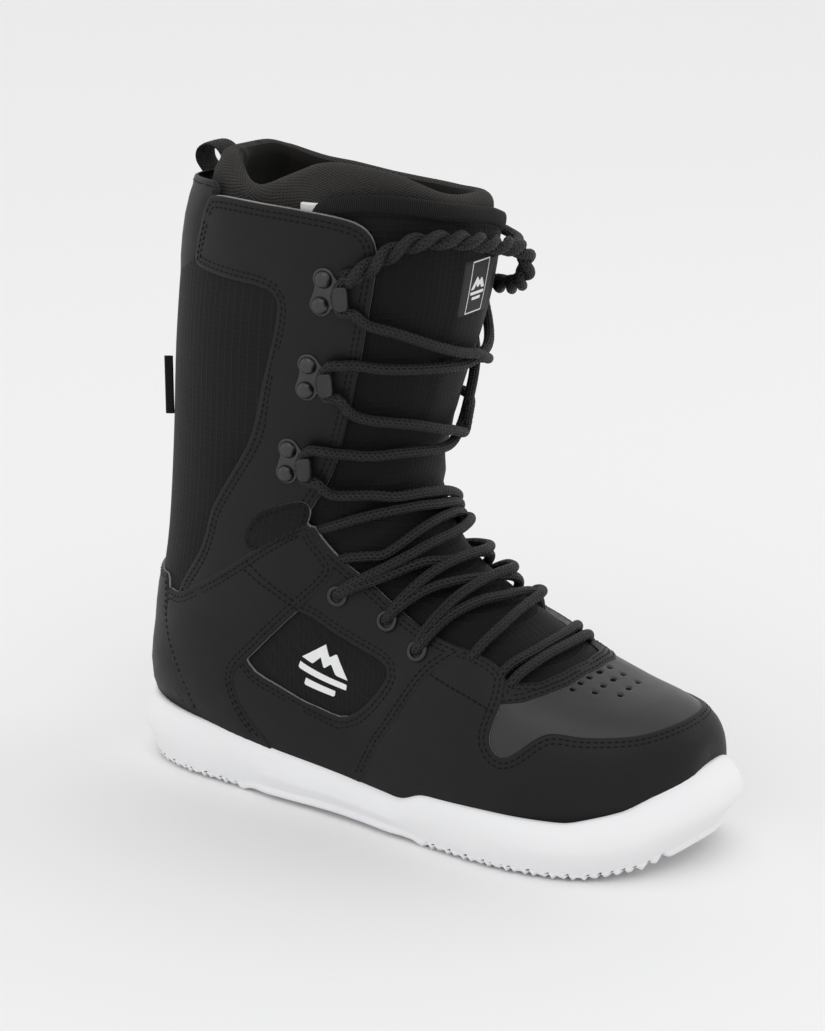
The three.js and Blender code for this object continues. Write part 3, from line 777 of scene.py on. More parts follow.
# Rows of holes over the toes, each from its lateral end to its medial end, and how many.
PERFORATIONS = [((4.48, -0.35), (4.39, 0.10), 5), ((4.12, -0.26), (4.10, 0.11), 4),
    ((3.73, -0.16), (3.76, 0.10), 3)]
HOLE_RADIUS = 1.15


def punched_holes():
    circles = []
    for start, end, count in PERFORATIONS:
        for t, a in np.linspace(start, end, count):
            turns = np.linspace(0, FULL, 12, endpoint=False)
            circles.append([(t + HOLE_RADIUS * math.cos(u) / 22,
                a + HOLE_RADIUS * math.sin(u) / 52) for u in turns])
    return circles


def collar_lean(where, points):
    """The collar's top leans in over the inner boot."""
    return -3.0 * np.clip((where[:, 0] - 15.0) / 1.0, 0, 1) ** 1.5


def make_upper():
    bends(panel("vamp", mirrored(VAMP_HALF), -1.6, 1.2, (VAMP_LEATHER, DARK_EDGE, THREAD), rows=(),
                holes=punched_holes()), "vamp_leather", "vamp")
    bends(panel("throat_band", mirrored(THROAT_BAND_HALF), -0.7, 1.1, UPPER, rows=(1.6, 3.9), puff=0.0,
        corner=1.5),
          "leather")
    bends(panel("toe_foxing", mirrored(FOXING_HALF), -0.5, 1.3, UPPER, stitch_where=behind_toe_tip,
                seams=[[(6.97, -1.0), (6.2, -0.98), (5.55, -0.97)],
                [(6.97, 1.0), (6.2, 0.98), (5.55, 0.97)]]),
          "leather", "toe_foxing")
    for side, sign in SIDES.items():
        bends(panel(f"side_window_{side}", flipped(WINDOW_CLOTH, -sign), -1.9, 1.0,
            (RIPSTOP, DARK_EDGE, THREAD),
                    rows=(), puff=0.9), "ripstop", f"side_window_{side}")
        bends(panel(f"quarter_{side}", flipped(QUARTER, -sign), -0.1, 1.3, UPPER,
            holes=[flipped(WINDOW, -sign)],
                    stitch_where=above_sole, corner=6.0), "leather", f"quarter_{side}")
        bends(panel(f"heel_wing_{side}", flipped(WING, -sign), 0.6, 1.2, UPPER, stitch_where=above_sole,
                    seams=[flipped(WING_SEAM, -sign)]), "leather", f"heel_foxing_{side}")
        top = [(t - MEDIAL_DROP * (t > 15.2) * (sign > 0), a) for t, a in (place(p) for p in SHAFT)]
        bends(panel(f"shaft_leather_{side}", flipped(top, -sign), -0.4, 1.3, UPPER, upright=True),
              "leather", f"shaft_panel_{side}")
        bends(panel(f"ankle_patch_{side}", flipped(ANKLE_PATCH, -sign), 1.05, 0.7, (RIPSTOP, HIGHLIT_EDGE, THREAD),
            rows=(2.2,),
                    upright=True), "ripstop")
    bends(panel("heel_counter", mirrored(COUNTER_HALF), 0.9, 1.1, UPPER, rows=(2.6,),
        stitch_where=above_sole),
          "leather", "heel_counter")
    bends(panel("back_panel", mirrored(BACK_HALF), -1.6, 1.0, (RIPSTOP, DARK_EDGE, THREAD), rows=(),
        upright=True, puff=1.2),
          "ripstop", "back_panel")
    bends(panel("collar_pad", COLLAR, -2.8, 1.8, (LEATHER, DARK_EDGE, THREAD), rows=(2.4,), upright=True,
                puff=2.0, skirt=3.0, relief=collar_lean), "leather", "collar_pad")


# ---------------------------------------------------------------- tongue
# The tongue's outline, and its binding, which slopes down to the medial side.
TONGUE = [
    (5.2, 0.75), (6.0, 0.85), (7.0, 1.0), (8.0, 1.1), (9.0, 1.2), (10.2, 1.42), (11.0, 1.5), (12.0, 1.36),
    (13.5, 1.32),
    (14.9, 1.32), (15.05, 1.26), (15.1, 1.0), (15.18, 0.6), (15.32, 0.26), (15.54, -0.09), (15.72, -0.48),
    (15.85, -0.79),
    (15.88, -1.1), (15.85, -1.28), (15.4, -1.34), (13.5, -1.32), (12.0, -1.36), (11.0, -1.5), (10.2, -1.42),
    (9.0, -1.2),
    (8.0, -1.1), (7.0, -1.0), (6.0, -0.85), (5.2, -0.75), (4.5, -0.5), (4.4, 0.0), (4.5, 0.5),
]
BINDING = [
    (15.45, -1.37, -5.6), (15.82, -1.32, -4.6), (15.95, -1.1, -3.8), (15.92, -0.79, -3.6),
    (15.79, -0.48, -3.4),
    (15.61, -0.09, -3.4), (15.38, 0.26, -3.4), (15.24, 0.6, -3.6), (15.16, 1.0, -4.0), (15.05, 1.28, -4.6),
    (14.8, 1.36, -5.6),
]
TONGUE_BASE = -4.6


def tongue_relief(where, points):
    """A raised strip down the middle, and folds across the ankle."""
    t, a = where[:, 0], where[:, 1]
    strip = 0.9 / (1 + np.exp((np.abs(a) * 50 - 12) * 1.6)) * (t > 10.8)
    folds = 0.9 * np.sin(t * 9.0 + a * 1.4) * np.exp(-((t - 9.7) / 1.1) ** 2)
    return strip + folds


def swept(build, line, section, mat=0, closed_section=True, frames=None, caps=True):
    """A section, given as side and up offsets, carried along a line."""
    _, side, up = frames if frames is not None else frames_along(line)
    section = np.asarray(section, float)
    rows, columns = len(line), len(section)
    verts = line[:, None] + section[None, :, :1] * side[:, None] + section[None, :, 1:] * up[:, None]
    run = np.concatenate([[0], np.cumsum(np.linalg.norm(np.diff(line, axis=0), axis=1))])
    round_it = np.concatenate([[0], np.cumsum(np.linalg.norm(np.diff(section, axis=0), axis=1))])
    uv = np.stack(np.meshgrid(run, round_it, indexing="ij"), -1).reshape(-1, 2) * 0.1
    faces = ring_faces(rows, columns, closed_section)
    if caps:
        faces += [tuple(range(columns))[::-1], tuple((rows - 1) * columns + k for k in range(columns))]
    build.add(verts.reshape(-1, 3), faces, mat, uv)


def oval(wide, tall, sides=14):
    angles = np.linspace(0, FULL, sides, endpoint=False)
    return np.stack([powered(np.cos(angles)) * wide / 2, powered(np.sin(angles)) * tall / 2], -1)


def skin_line(points, step=2.5):
    """A smooth line through (t, a, out) places, with its frames lying on the skin."""
    route = smooth_line(np.array(points, float) * [UNIT[0], UNIT[1], 1], step) / [UNIT[0], UNIT[1], 1]
    line = off_skin(route[:, 0], route[:, 1], route[:, 2])
    tangent = np.gradient(line, axis=0)
    tangent /= np.linalg.norm(tangent, axis=1, keepdims=True)
    up = normal(route[:, 0], route[:, 1])
    side = np.cross(tangent, up)
    side /= np.linalg.norm(side, axis=1, keepdims=True)
    return line, (tangent, side, np.cross(side, tangent))


def make_tongue():
    tongue = panel("tongue", TONGUE, TONGUE_BASE, 1.4, (TONGUE_CLOTH, DARK_EDGE, THREAD), rows=(3.2,),
                   upright=True, puff=0.8, relief=tongue_relief, skirt=3.5)
    bends(tongue, "ripstop", "tongue_lower", "tongue_upper")
    build = Build()
    line, frames = skin_line(BINDING, 1.5)
    swept(build, line, oval(8.0, 4.2), frames=frames)
    rides(build.make("tongue_binding", [GROSGRAIN]), "shaft", "webbing", "tongue_binding")


def skin_patch(build, t_range, a_range, out, thickness, mat, steps=12):
    """A flat label sewn on the skin: a small curved slab."""
    t, a = np.meshgrid(np.linspace(*t_range, steps), np.linspace(*a_range, steps), indexing="ij")
    top = off_skin(t, a, out + thickness + 0 * t).reshape(-1, 3)
    foot = off_skin(t, a, out - 1.0 + 0 * t).reshape(-1, 3)
    rim = ([(0, j) for j in range(steps)] + [(i, steps - 1) for i in range(1, steps)]
           + [(steps - 1, j) for j in range(steps - 2, -1, -1)] + [(i, 0) for i in range(steps - 2, 0, -1)])
    rim = [i * steps + j for i, j in rim]
    faces = ring_faces(steps, steps, closed=False)
    walls = [(rim[k], rim[(k + 1) % len(rim)], steps**2 + rim[(k + 1) % len(rim)],
        steps**2 + rim[k]) for k in range(len(rim))]
    uv = np.stack([a.ravel() * 5.2, t.ravel() * 2.0], -1)
    build.add(np.concatenate([top, foot]), [f[::-1] for f in faces] + walls, mat, np.concatenate([uv, uv]))


def skin_shape(build, outline, centre, scale, turn, out, thickness, mat):
    """A flat printed shape, such as a mark, laid on the skin round a place."""
    t0, a0 = centre
    up, around = slopes(t0, a0)
    out_way = normal(t0, a0)
    upward = np.array([0, 0, 1.0]) - out_way * out_way[2]
    upward /= np.linalg.norm(upward)
    across = np.cross(upward, out_way)
    flat = np.array(outline, float) * scale
    c, s = math.cos(turn), math.sin(turn)
    flat = np.stack([flat[:, 0] * c - flat[:, 1] * s, flat[:, 0] * s + flat[:, 1] * c], -1)
    loop = resampled(np.concatenate([flat, flat[:1]]), 1.2, closed=True)
    low, high = loop.min(0), loop.max(0)
    gx, gy = np.meshgrid(np.arange(low[0], high[0], 1.5), np.arange(low[1], high[1], 1.5))
    grid = np.stack([gx.ravel(), gy.ravel()], -1)
    grid = grid[inside(loop, grid)]
    points = np.concatenate([loop, grid])
    edges = [(i, (i + 1) % len(loop)) for i in range(len(loop))]
    made = geometry.delaunay_2d_cdt([Vector(p) for p in points], edges, [], 0, 1e-4)
    flat = np.array([list(v) for v in made[0]])
    faces = np.array([list(f) for f in made[2]])
    faces = faces[inside(loop, flat[faces].mean(1))]
    jacobian = np.array([[up @ upward, around @ upward], [up @ across, around @ across]])
    steps = np.linalg.solve(jacobian, np.stack([flat[:, 1], flat[:, 0]]))
    t, a = t0 + steps[0], a0 + steps[1]
    verts = off_skin(t, a, out + thickness + 0 * t)
    tri = verts[faces]
    facing = (np.cross(tri[:, 1] - tri[:, 0], tri[:, 2] - tri[:, 0]) * normal(t0, a0)).sum(1) < 0
    faces[facing] = faces[facing][:, ::-1]
    rim = off_skin(t[: len(loop)], a[: len(loop)], out - 0.5 + 0 * t[: len(loop)])
    walls = ring_faces(2, len(loop))
    build.add(verts, faces, mat)
    build.add(np.concatenate([verts[: len(loop)], rim]), walls, mat)


# A generic mark: a mountain's outline over two bars.
PEAK = [(-0.5, -0.05), (-0.12, 0.42), (0.03, 0.22), (0.16, 0.36), (0.5, -0.05), (0.24, -0.05), (0.1, 0.12),
    (-0.02, -0.03), (-0.14, 0.14), (-0.26, -0.05)]
BARS = [[(-0.5, -0.14), (0.5, -0.14), (0.5, -0.25), (-0.5, -0.25)],
    [(-0.3, -0.34), (0.3, -0.34), (0.3, -0.45), (-0.3, -0.45)]]


def make_marks():
    for side, sign in SIDES.items():
        build = Build()
        for shape in [PEAK, *BARS]:
            skin_shape(build, shape, (8.72, sign * 1.405), 26, 0.26 * sign, -0.2, 0.35, 0)
        bends(build.make(f"side_mark_{side}", [WHITE]), "label")
    build = Build()
    skin_patch(build, (13.6, 14.85), (-0.17, 0.17), -2.3, 0.9, 0)
    for shape in [PEAK, *BARS]:
        skin_shape(build, shape, (14.22, 0.0), 13, 0.0, -2.3, 1.05, 1)
    w, h, line = 8.6, 12.6, 0.55
    for bar in ([(-w, h), (w, h), (w, h - line), (-w, h - line)],
        [(-w, -h), (w, -h), (w, line - h), (-w, line - h)],
                [(-w, -h), (line - w, -h), (line - w, h), (-w, h)],
                [(w, -h), (w - line, -h), (w - line, h), (w, h)]):
        skin_shape(build, bar, (14.22, 0.0), 1.0, 0.0, -2.3, 1.05, 1)
    rides(build.make("tongue_label", [BLACK_PRINT_AND_HOLE_SHADE, WHITE]), "shaft", "label", "tongue_label")


# ---------------------------------------------------------------- inner boot
LINER_TOP = [
    (-3.1416, 16.5), (-2.5, 16.58), (-2.15, 16.5), (-1.97, 16.22), (-1.78, 16.02), (-1.62, 16.2),
    (-1.46, 16.6),
    (-1.3, 16.66), (-1.1, 16.58), (-0.8, 16.42), (-0.55, 16.2), (-0.3, 15.98), (0, 15.85), (0.5, 15.75),
    (1.1, 15.72),
    (1.5, 15.78), (2.1, 16.02), (2.5, 16.3), (2.9, 16.48), (3.1416, 16.5),
]
LINER_OUT = -8.4
LINER_IN = -18.0
LINER_FLOOR = 14.0
LINER_LEAN = 9.0                   # how far the back of the top edge leans forwards


def make_liner():
    """One soft wall: the knit outside, a rolled top, the velvet inside down to the footbed."""
    sides = 120
    angles = np.linspace(-math.pi, math.pi, sides, endpoint=False)
    top = np.interp(angles, [p[0] for p in LINER_TOP], [p[1] for p in LINER_TOP])
    kernel = np.array([1, 2, 3, 2, 1]) / 9
    top = np.convolve(np.concatenate([top[-2:], top, top[:2]]), kernel, "valid")
    middle, half = (LINER_OUT + LINER_IN) / 2, (LINER_OUT - LINER_IN) / 2
    lean = LINER_LEAN * np.clip((np.abs(angles) - 1.9) / 0.7, 0, 1)
    rows = []
    for depth in (6.4, 5.8, 5.2, 4.6, 4.0, 3.4, 2.8, 2.2, 1.7, 1.2, 0.9, 0.65, 0.42):
        bulge = 1.2 * math.exp(-((depth - 0.7) / 0.5) ** 2)
        rows.append((top - depth, LINER_OUT + bulge - lean * math.exp(-depth / 1.2), 0))
    for k in range(11):
        turn = math.pi * k / 10
        rows.append((top - 0.25 + 0.22 * math.sin(turn), middle + (half + 0.6) * math.cos(turn) - lean,
            0 if k < 7 else 1))
    for depth in (0.45, 0.7, 1.0, 1.5, 2.2, 3.0, 4.0, 5.0, 6.0, 6.8, 7.4):
        bulge = 2.2 * math.exp(-((depth - 1.0) / 0.7) ** 2)
        rows.append((top - depth, LINER_IN - bulge - lean * math.exp(-depth / 1.2), 1))
    verts, uvs = [], []
    run = 0.0
    for index, (t, out, _) in enumerate(rows):
        ring = off_skin(np.minimum(t, LAST), angles, out)
        ring[:, 2] = np.maximum(ring[:, 2], LINER_FLOOR)
        if index:
            run += np.linalg.norm(ring - verts[-1], axis=1).mean()
        verts.append(ring)
        uvs.append(np.stack([angles * 4.6, 0 * angles + run * 0.1], -1))
    faces = ring_faces(len(rows), sides)
    mats = [rows[i][2] for i in range(len(rows) - 1) for _ in range(sides)]
    build = Build()
    build.add(np.concatenate(verts), [f[::-1] for f in faces], mats, np.concatenate(uvs))
    last = len(rows) - 1
    for start in (0, last):
        ring = verts[start]
        inner = ring * [1, 0.93, 1] if start else ring * [0.97, 0.97, 1]
        walls = ring_faces(2, sides)
        build.add(np.concatenate([ring, inner]), walls if start else [f[::-1] for f in walls], 1)
    liner = build.make("inner_boot", [KNIT, VELVET])
    bends(liner, "mesh", "liner_cuff", "liner_foot")
    return liner


def make_inner_foot():
    """The inside of the inner boot's foot, seen down the shaft: a sock-shaped wall and its footbed."""
    sides = 72
    angles = np.linspace(-math.pi, math.pi, sides, endpoint=False)
    stations = np.linspace(9.6, 1.6, 34)
    rows = [off_skin(t + 0 * angles, angles, LINER_IN + 0 * angles) for t in stations]
    floor = [np.interp(row[:, 0], (-170, -90, -40, 0, 60, 100, 128),
        (27, 25, 21, 18, 18, 21, 27)) for row in rows]
    for row, z in zip(rows, floor):
        row[:, 2] = np.maximum(row[:, 2], z)
    build = Build()
    build.add(np.concatenate(rows), ring_faces(len(rows), sides), 0,
              np.stack([np.tile(angles * 4, len(rows)), np.repeat(stations, sides)], -1))
    sock = build.make("inner_foot", [VELVET])
    bends(sock, "mesh", "footbed")


# ---------------------------------------------------------------- sole
HEEL_LUGS = (-146, -74)
TOE_LUGS = (34, 150)
TOOTH = 4.6


def sole_outline(count=420):
    plan = np.array([(x, y) for x, y in SOLE_PLAN], float)
    return smooth_line(plan, 800 / count, closed=True)


def sole_bottom(x, near_edge):
    """The tread's height: lugs under heel and ball, a raised arch, toe spring and a bevelled heel."""
    spring = np.interp(x, (117, 140, 158), (0, 3.5, 11))
    heel = np.interp(x, (-158, -150, -143), (5, 2.2, 0))
    arch = np.interp(x, (HEEL_LUGS[1], HEEL_LUGS[1] + 5, -20, TOE_LUGS[0] - 6, TOE_LUGS[0]),
        (0, 1.8, 2.6, 1.8, 0))
    toothed = ((x > HEEL_LUGS[0]) & (x < HEEL_LUGS[1])) | ((x > TOE_LUGS[0]) & (x < TOE_LUGS[1]))
    saw = np.abs(((x / TOOTH) % 1) - 0.5) * 2
    return spring + heel + arch + np.where(toothed, near_edge * 2.8 * saw, 0)


def outside_upper(ring):
    """The sole's outline, moved out where the upper would cover its top edge."""
    x = ring[:, 0]
    height = np.interp(x, [p[0] for p in SOLE_TOP], [p[1] for p in SOLE_TOP])
    need = []
    for side in (-1, 1):
        t, a = skin_at(x, height, side)
        need.append(off_skin(t, a, 4.2)[:, 1])
    reach = np.where(ring[:, 1] < 0, np.minimum(ring[:, 1], need[0]), np.maximum(ring[:, 1], need[1]))
    straight = np.abs(x) < 118
    y = np.where(straight, reach, ring[:, 1])
    kernel = np.ones(13) / 13
    moved = np.convolve(np.concatenate([y[-6:], y, y[:6]]) - np.concatenate([ring[-6:, 1], ring[:, 1],
        ring[:6, 1]]), kernel, "valid")
    return np.stack([x, ring[:, 1] + moved], -1)


# How far the sole's wall draws in at each end, towards its top edge and towards its bottom edge.
TOE_PULL = (7.0, 8.0)
HEEL_PULL = (3.0, 5.0)


def make_sole():
    ring = sole_outline()
    tangent = np.roll(ring, -1, axis=0) - np.roll(ring, 1, axis=0)
    tangent /= np.linalg.norm(tangent, axis=1, keepdims=True)
    outward = np.stack([tangent[:, 1], -tangent[:, 0]], -1)
    if (outward * (ring - ring.mean(0))).sum() < 0:
        outward = -outward
    ring = outside_upper(ring)
    x = ring[:, 0]
    top = np.interp(x, [p[0] for p in SOLE_TOP], [p[1] for p in SOLE_TOP])
    kernel = np.ones(5) / 5
    top = np.convolve(np.concatenate([top[-2:], top, top[:2]]), kernel, "valid")
    toe, heel = np.interp(x, (60, 125, 156), (0, 0.5, 1)), np.interp(x, (-154, -105), (1, 0))
    # rows of (inset, height as a share of the wall, added height, how toothed)
    rows = [
        (30, 0, 0, 0), (14, 0, 0, 0), (9, 0, 0, 0.6), (3.5, 0, 0, 1), (1.6, 0, 0.5, 1), (1.0, 0, 1.6, 1),
        (0.9, 0, 3.2, 0.15),
        (1.3, 0, 4.0, 0), (0.9, 0, 4.8, 0), (0.4, 0.3, 2, 0), (0.0, 0.45, 1, 0), (0.0, 0.6, 0.5, 0),
        (0.5, 0.78, 0, 0), (1.3, 0.9, 0, 0),
        (2.1, 1.0, -0.9, 0), (3.0, 1.0, -0.15, 0), (4.2, 1.0, 0.0, 0), (6.0, 1.0, -0.6, 0),
        (10.5, 1.0, -2.6, 0), (14, 1, -6, 0),
    ]
    verts = []
    waist = np.clip(np.minimum((x + 66) / 7, (22 - x) / 7), 0, 1)
    for inset, share, lift, teeth in rows:
        ledge = 1.3 if 0 < share < 0.55 or teeth > 0.9 else 0
        flat = ring - outward * (inset - ledge * waist)[:, None]
        over, under = max(0.0, share - 0.5) * 2, max(0.0, 0.5 - share) * 2
        toe_in = toe * (TOE_PULL[0] * over**1.5 + TOE_PULL[1] * under)
        heel_in = heel * (HEEL_PULL[0] * over**1.5 + HEEL_PULL[1] * under)
        flat = flat - outward * (toe_in + heel_in)[:, None]
        low = sole_bottom(x, teeth)
        z = low * (1 - share) + top * share + lift
        verts.append(np.concatenate([flat, z[:, None]], 1))
    count = len(ring)
    build = Build()
    faces = ring_faces(len(rows), count)
    build.add(np.concatenate(verts), faces, 0)
    spine = np.stack([np.clip(x, -118, 118), 0 * x, sole_bottom(np.clip(x, -118, 118), 0)], -1)
    build.add(np.concatenate([spine, verts[0]]), ring_faces(2, count), 0)
    obj = build.make("outsole", [RUBBER])
    rides(obj, "foot", "rubber", "outsole")
    return obj


# ---------------------------------------------------------------- hooks, rivets and eyelets
HOOKS = [(-43, 168.5), (-28.5, 210.5), (-18, 251)]
EYELETS = [(-20, 107), (5, 99), (23, 89)]


def basis_at(t, a, out):
    """A matrix that stands on the skin: X forwards, Y up the boot, Z outwards, in millimetres."""
    n = normal(t, a)
    forward = np.array([1.0, 0, 0]) - n * n[0]
    forward /= np.linalg.norm(forward)
    up = np.cross(n, forward)
    if up[2] < 0:
        up = -up
    return np.stack([forward, up, n], 1), off_skin(t, a, out)


def stood(verts, basis, origin):
    return np.asarray(verts, float) @ basis.T + origin


def lathe(profile, sides=28):
    angles = np.linspace(0, FULL, sides, endpoint=False)
    rows = [np.stack([r * np.cos(angles), r * np.sin(angles), 0 * angles + z], -1) for r, z in profile]
    return np.concatenate(rows), ring_faces(len(profile), sides)


DOME = [(4.1, 0), (4.15, 0.5), (3.95, 1.1), (3.4, 1.9), (2.5, 2.6), (1.4, 3.0), (0.4, 3.15), (0.01, 3.15)]
RIM = [(3.0, -1.0), (3.0, 0.9), (3.25, 1.35), (3.8, 1.6), (4.5, 1.45), (5.0, 0.95), (5.2, 0.1)]


def plate_outline():
    """Two round lobes, one behind each rivet, joined by a web that runs forwards to the gate."""
    points = []
    for centre, start, end in (((1.0, 6.0), 20, 215), ((-1.4, -6.0), 140, 340)):
        for angle in np.radians(np.linspace(start, end, 14)):
            points.append((centre[0] + 5.2 * math.cos(angle), centre[1] + 5.2 * math.sin(angle)))
    return points + [(7.5, -4.5), (9.0, -3.5), (9.5, 3.0), (8.4, 4.6)]


def make_hook(name, x, z, side, nodes):
    t, a = (float(v) for v in skin_at(x, z, side))
    basis, origin = basis_at(t, a, 0.0)
    build = Build()
    outline = resampled(rounded(plate_outline(), 1.5), 0.9)
    count = len(outline)
    centre = outline.mean(0)
    rows = [(1.0, 0.2), (1.0, 1.7), (0.97, 2.0), (0.9, 2.1)]
    verts = [np.concatenate([centre + (outline - centre) * s, np.full((count, 1), h)], 1) for s, h in rows]
    build.add(stood(np.concatenate(verts), basis, origin),
        ring_faces(4, count) + [tuple(range(3 * count, 4 * count))], 0)
    strip = smooth_line([(6.0, 1.7), (9.0, 1.9), (11.6, 3.2), (13.0, 5.6), (12.6, 7.9), (10.6, 8.9),
        (8.0, 8.6)], 0.6)
    along = np.gradient(strip, axis=0)
    along /= np.linalg.norm(along, axis=1, keepdims=True)
    across = np.stack([-along[:, 1], along[:, 0]], -1)
    section = oval(11.6, 1.4, 24)
    taper = np.interp(np.arange(len(strip)), (0, 5, len(strip) - 4, len(strip) - 1), (1.0, 1.0, 0.95, 0.7))
    verts = []
    for k, (point, sideways) in enumerate(zip(strip, across)):
        for wide, thick in section:
            verts.append((point[0] + sideways[0] * thick, wide * taper[k] - 0.5,
                point[1] + sideways[1] * thick))
    columns = len(section)
    faces = ring_faces(len(strip), columns)
    faces += [tuple(range(columns)), tuple((len(strip) - 1) * columns + k for k in range(columns))[::-1]]
    build.add(stood(verts, basis, origin), faces, 1)
    for cx, cy in ((1.0, 6.0), (-1.4, -6.0)):
        dome, faces = lathe(DOME)
        build.add(stood(dome + [cx, cy, 1.9], basis, origin), faces, 2)
    rides(build.make(name, [GUNMETAL, DARK_METAL, GUNMETAL]), "shaft", "metal", *nodes)


def make_fittings():
    for side, sign in SIDES.items():
        for i, (x, z) in enumerate(HOOKS, 1):
            make_hook(f"hook_{side}_{i}", x, z, sign,
                      [f"hook_{side}_{i}", f"rivet_{side}_{i}_low", f"rivet_{side}_{i}_high"])
        for i, (x, z) in enumerate(EYELETS, 1):
            t, a = (float(v) for v in skin_at(x, z, sign))
            basis, origin = basis_at(t, a, 1.5)
            build = Build()
            rim, faces = lathe(RIM)
            build.add(stood(rim, basis, origin), faces, 0)
            # A dark disc fills the eyelet's hole: painted shade for the dark inside the hole.
            hole_shade_disc, faces = lathe([(3.1, 0.15), (0.01, 0.1)])
            build.add(stood(hole_shade_disc, basis, origin), faces, 1)
            rides(build.make(f"eyelet_{side}_{i}", [DARK_METAL, BLACK_PRINT_AND_HOLE_SHADE]), "foot", "metal",
                f"eyelet_{side}_{i}")


# ---------------------------------------------------------------- lace
LACE_WIDTH = 4.6
LACE_STEP = 0.6
LACE_SIDES = 24


def hook_turn(index, side):
    """The lace's turn behind the gate of a hook, from the strand below it to the one above."""
    x, z = HOOKS[index]
    points = []
    for ahead, up in ((15, -8.0), (10, -7.2), (7.0, 0), (10, 7.2), (15, 8.0)):
        t, a = skin_at(x + ahead + up * 0.2, z + up, side)
        points.append((float(t), float(a), 4.9))
    return points


# Strands as (t, a, out) places. Each one goes under an edge, through an eyelet or round a hook.
STRANDS = [
    [(5.5, -0.72, -3), (5.42, -0.58, 1), (5.28, -0.3, 1.5), (5.2, 0.05, 1.5), (5.3, 0.4, 1.2),
    (5.5, 0.66, -3)],
    [(5.75, -0.74, -3), (5.66, -0.56, 0.5), (5.45, -0.25, 1.2), (5.42, 0.1, 1.2), (5.6, 0.45, 1),
    (5.8, 0.7, -3)],
    [(6.45, -0.78, -4), (6.33, -0.62, 1), (6.2, -0.3, 2.2), (6.25, 0.05, 3), (6.4, 0.32, 4.4),
    (6.75, 0.56, 3.4),
     (7.1, 0.8, 3.6), (7.4, 0.93, 1)],
    [(7.4, -0.93, 0.5), (7.32, -0.84, 3.4), (7.15, -0.58, 2.4), (6.85, -0.25, 2.0), (6.6, 0.05, 1.6),
    (6.55, 0.4, 1.2), (6.6, 0.75, -4)],
    [(7.44, -0.95, 0.5), (7.38, -0.8, 3.8), (7.25, -0.5, 4.4), (7.1, -0.1, 4.8), (7.1, 0.27, 5.2),
    (7.5, 0.55, 4.2),
     (7.9, 0.8, 3.6), (8.17, 0.93, 1)],
    [(8.17, -0.93, 0.5), (8.1, -0.84, 3.6), (7.8, -0.55, 2.6), (7.35, -0.2, 2.2), (7.08, 0.1, 1.8),
    (7.1, 0.5, 1.4), (7.4, 0.9, 1)],
    [(8.2, -0.95, 0.5), (8.12, -0.8, 4.0), (7.95, -0.5, 4.6), (7.75, -0.15, 5.0), (7.66, 0.17, 5.4),
    (8.0, 0.5, 4.4),
     (8.6, 0.82, 3.8), (9.14, 1.05, 1)],
    [(9.14, -1.09, 0.5), (9.0, -0.97, 3.6), (8.6, -0.72, 2.8), (8.2, -0.42, 2.4), (7.8, -0.12, 2.0),
    (7.75, 0.4, 1.8), (8.15, 0.9, 1)],
    [(9.2, -1.1, 0.5), (9.05, -0.95, 4.0), (8.68, -0.66, 4.6), (8.42, -0.36, 4.6), (8.3, 0.04, 4.8),
    (8.7, 0.5, 4.4),
     (9.4, 0.9, 3.4), (10.4, 1.06, 3.2), *hook_turn(0, 1),
     (11.9, 0.95, 3.0), (11.2, 0.45, 3.2), (10.62, 0.3, 4.6), (10.85, -0.1, 3.4), (11.57, -0.62, 2.2),
     (12.2, -0.95, 2.8),
     *hook_turn(1, -1), (13.3, -1.0, 3.0), (12.93, -0.71, 2.2), (12.45, -0.2, 2.2), (12.36, 0.1, 2.2),
     (12.9, 0.6, 2.6),
     (13.9, 0.98, 3.0), *hook_turn(2, 1), (15.05, 0.92, 3.4), (15.0, 0.72, 5.0),
     (14.98, 0.5, 5.2), (14.95, 0.3, 3.0), (14.9, 0.1, -1.0)],
    [(15.0, -1.04, 4.2), *hook_turn(2, -1)[::-1], (14.04, -0.94, 3.0),
     (13.73, -0.72, 2.3), (13.0, -0.27, 2.8), (12.62, 0.05, 3.8), (12.38, 0.33, 5.0), (12.45, 0.75, 3.4),
     *hook_turn(1, 1), (13.2, 1.0, 3.0), (12.2, 0.7, 2.2), (10.75, 0.35, 2.0), (10.31, 0.01, 2.2),
     (10.9, -0.64, 2.2),
     (11.5, -1.0, 2.8), *hook_turn(0, -1)[::-1], (10.75, -1.02, 2.6), (10.2, -0.7, 2.4), (9.68, -0.39, 2.4),
     (9.24, 0.12, 2.8), (9.2, 0.5, 2.4), (9.5, 0.95, -2), (9.6, 1.15, -5)],
    [(9.62, -1.15, -5), (9.5, -0.97, -1), (9.2, -0.8, 1.4), (8.9, -0.64, 1.8), (8.75, -0.3, 2.2),
    (8.72, 0.1, 2.2), (8.8, 0.5, 2), (9.1, 1.0, 1)],
    [(10.3, -1.16, -5), (10.14, -1.02, -1), (9.8, -0.71, 1.6), (9.3, -0.3, 2.2), (8.98, 0.07, 2.6),
    (9.0, 0.5, 2), (9.3, 1.05, -4)],
]
# Above the top hooks two strands are twisted round each other, and hang as a loop on the medial side.
TWIST = [
    (14.9, -1.12, 4.4), (15.09, -0.97, 4.6), (15.35, -0.79, 4.6), (15.43, -0.58, 4.6), (15.33, -0.25, 4.8),
    (15.06, 0.11, 6.0),
    (14.92, 0.28, 9.0), (14.66, 0.36, 11.0), (14.3, 0.42, 10.0), (14.1, 0.56, 7.0), (14.05, 0.76, 3.6),
    (14.1, 0.98, -2.0),
]
TWIST_PITCH = 23.0
TWIST_RADIUS = 2.1


